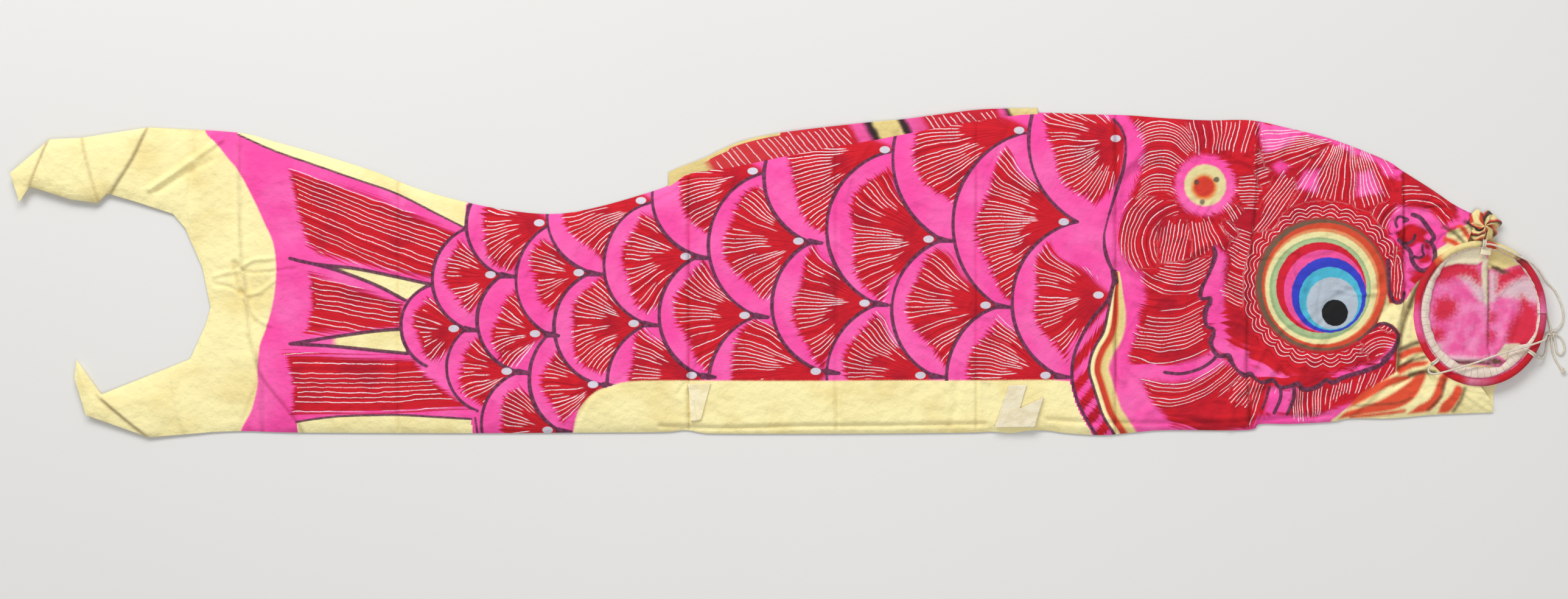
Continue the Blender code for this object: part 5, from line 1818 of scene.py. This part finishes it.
# ---------------------------------------------------------------- fins
FIN_SPAN = (-112.0, 252.0)
FIN_EDGE = smooth_line((
    (-112, 98.5), (-100, 104), (-75, 113.5), (-60, 121), (-38, 130), (0, 138), (75, 147), (118, 151),
    (160, 156.5), (200, 161), (252, 162),
), 5)
FIN_HINGE = ((-112.0, 97.0), (252.0, 159.8))
FIN_LEVEL = 3.5
FIN_THICKNESS, FLAP_THICKNESS = 0.7, 0.6
FIN_SLANT = 0.5  # of the bars painted across the fin
FIN_RED = ((0.12, 0.50), (0.70, 0.88))  # where along the fin it is painted red, with white strokes
FIN_STROKE_LEAN, FIN_STROKE_PITCH = 0.75, 5.6
PELVIC_ROOT, PECTORAL_ROOT = -109.7, -111.7
FLAP_RISE = 1.3  # of the small fins over the cloth that they lie on


def make_dorsal_fin():
    columns, rows = 230, 14
    x = np.linspace(*FIN_SPAN, columns)
    root, edge = edge_height(BACK_LINE, x) - 2.0, edge_height(FIN_EDGE, x)
    edge = np.maximum(edge, root + 1.5)
    share = np.linspace(0.0, 1.0, rows)
    y = root[:, None] + (edge - root)[:, None] * share
    gx = np.repeat(x[:, None], rows, axis=1)
    ripple = 0.5 * wavy(gx, y, 24.0, 61) * share + 0.35 * np.sin(math.pi * np.clip(share * 1.1, 0.0, 1.0))
    height = FIN_LEVEL - 1.2 * (1.0 - share) + ripple
    x2, y2 = gx.ravel(), y.ravel()
    points, faces = two_layers(x2, y2, height.ravel(), FIN_THICKNESS, columns, rows)
    piece = make_piece("dorsal_fin_cloth", points, faces, FIN_LOOK)
    keep_flat(piece, np.tile(x2, 2), np.tile(y2, 2))
    slanted = x2 + FIN_SLANT * ((y - root[:, None]).ravel() - 8.0)
    band = np.clip((slanted - FIN_SPAN[0]) / (FIN_SPAN[1] - FIN_SPAN[0]), 0.0, 1.0)
    band = np.where((x2 < -2.0) & ((edge[:, None] - y).ravel() < 3.4), 0.03, band)
    keep_value(piece, "band", np.tile(band, 2))
    red = np.max([np.minimum(band - start, end - band) for start, end in FIN_RED], axis=0)
    within = np.minimum(red * 360.0, (edge[:, None] - y).ravel() - 1.0)
    keep_value(piece, "strokes", np.tile(within, 2))
    phase = (x2 + FIN_STROKE_LEAN * (y2 - 0.17 * x2)) / FIN_STROKE_PITCH
    keep_value(piece, "phase", np.tile(phase, 2))
    keep_value(piece, "pitch", np.full(2 * len(x2), 4.0))
    rear_end, front_end = Vector(FIN_HINGE[0]), Vector(FIN_HINGE[1])
    across = (front_end - rear_end).orthogonal().normalized()
    start, end = rear_end - across, rear_end + 2.0 * across
    spot(*start)
    spot(*end)
    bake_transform(piece)
    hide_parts("dorsal_fin")
    area = flat_area(x2, y2, grid_faces(columns, rows))
    return piece


def make_flap(name, quads, body, root, look):
    """A small fin of folded cloth that lies on the near side, from four-cornered layers."""
    columns = rows = 26
    points, faces, flats, area = [], [], [], 0.0
    for corners, lift in quads:
        a, b, c, d = corners
        grid = patch((a, b), (d, c), (a, d), (b, c), columns, rows)
        x, y = grid[..., 0].ravel(), grid[..., 1].ravel()
        under, _ = near_height(x, y)
        height = np.maximum(under, TOP_HEIGHT - 0.9) + FLAP_RISE + lift + 0.22 * wavy(x, y, 12.0, 71)
        area += flat_area(x, y, grid_faces(columns, rows))
        layer_points, layer_faces = two_layers(x, y, height, FLAP_THICKNESS, columns, rows)
        faces.append(layer_faces + sum(map(len, points)))
        points.append(layer_points)
        flats += [np.stack([x, y], axis=-1)] * 2
    piece = make_piece(name, np.vstack(points), np.vstack(faces), look)
    keep_flat(piece, *np.vstack(flats).T)
    spot(0.0, root + 1.2)
    spot(0.0, root - 2.4)
    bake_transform(piece)
    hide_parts(body)
    return piece


make_dorsal_fin()
make_flap("pelvic_fin_cloth", (
    (((-88, -147), (-80, -144.5), (-70, -108.5), (-93, -109)), 0.0),
    (((-90, -146), (-84, -145.5), (-86, -130), (-91.5, -116)), 0.7),
), "pelvic_fin", PELVIC_ROOT, PALE_TAB_LOOK)
make_flap("pectoral_fin_cloth", (
    (((209, -151), (232, -140), (240.5, -110.5), (223, -110.5)), 0.0),
    (((209, -152), (248.5, -152), (257.5, -122), (212.5, -143.5)), 0.9),
), "pectoral_fin", PECTORAL_ROOT, TAB_LOOK)
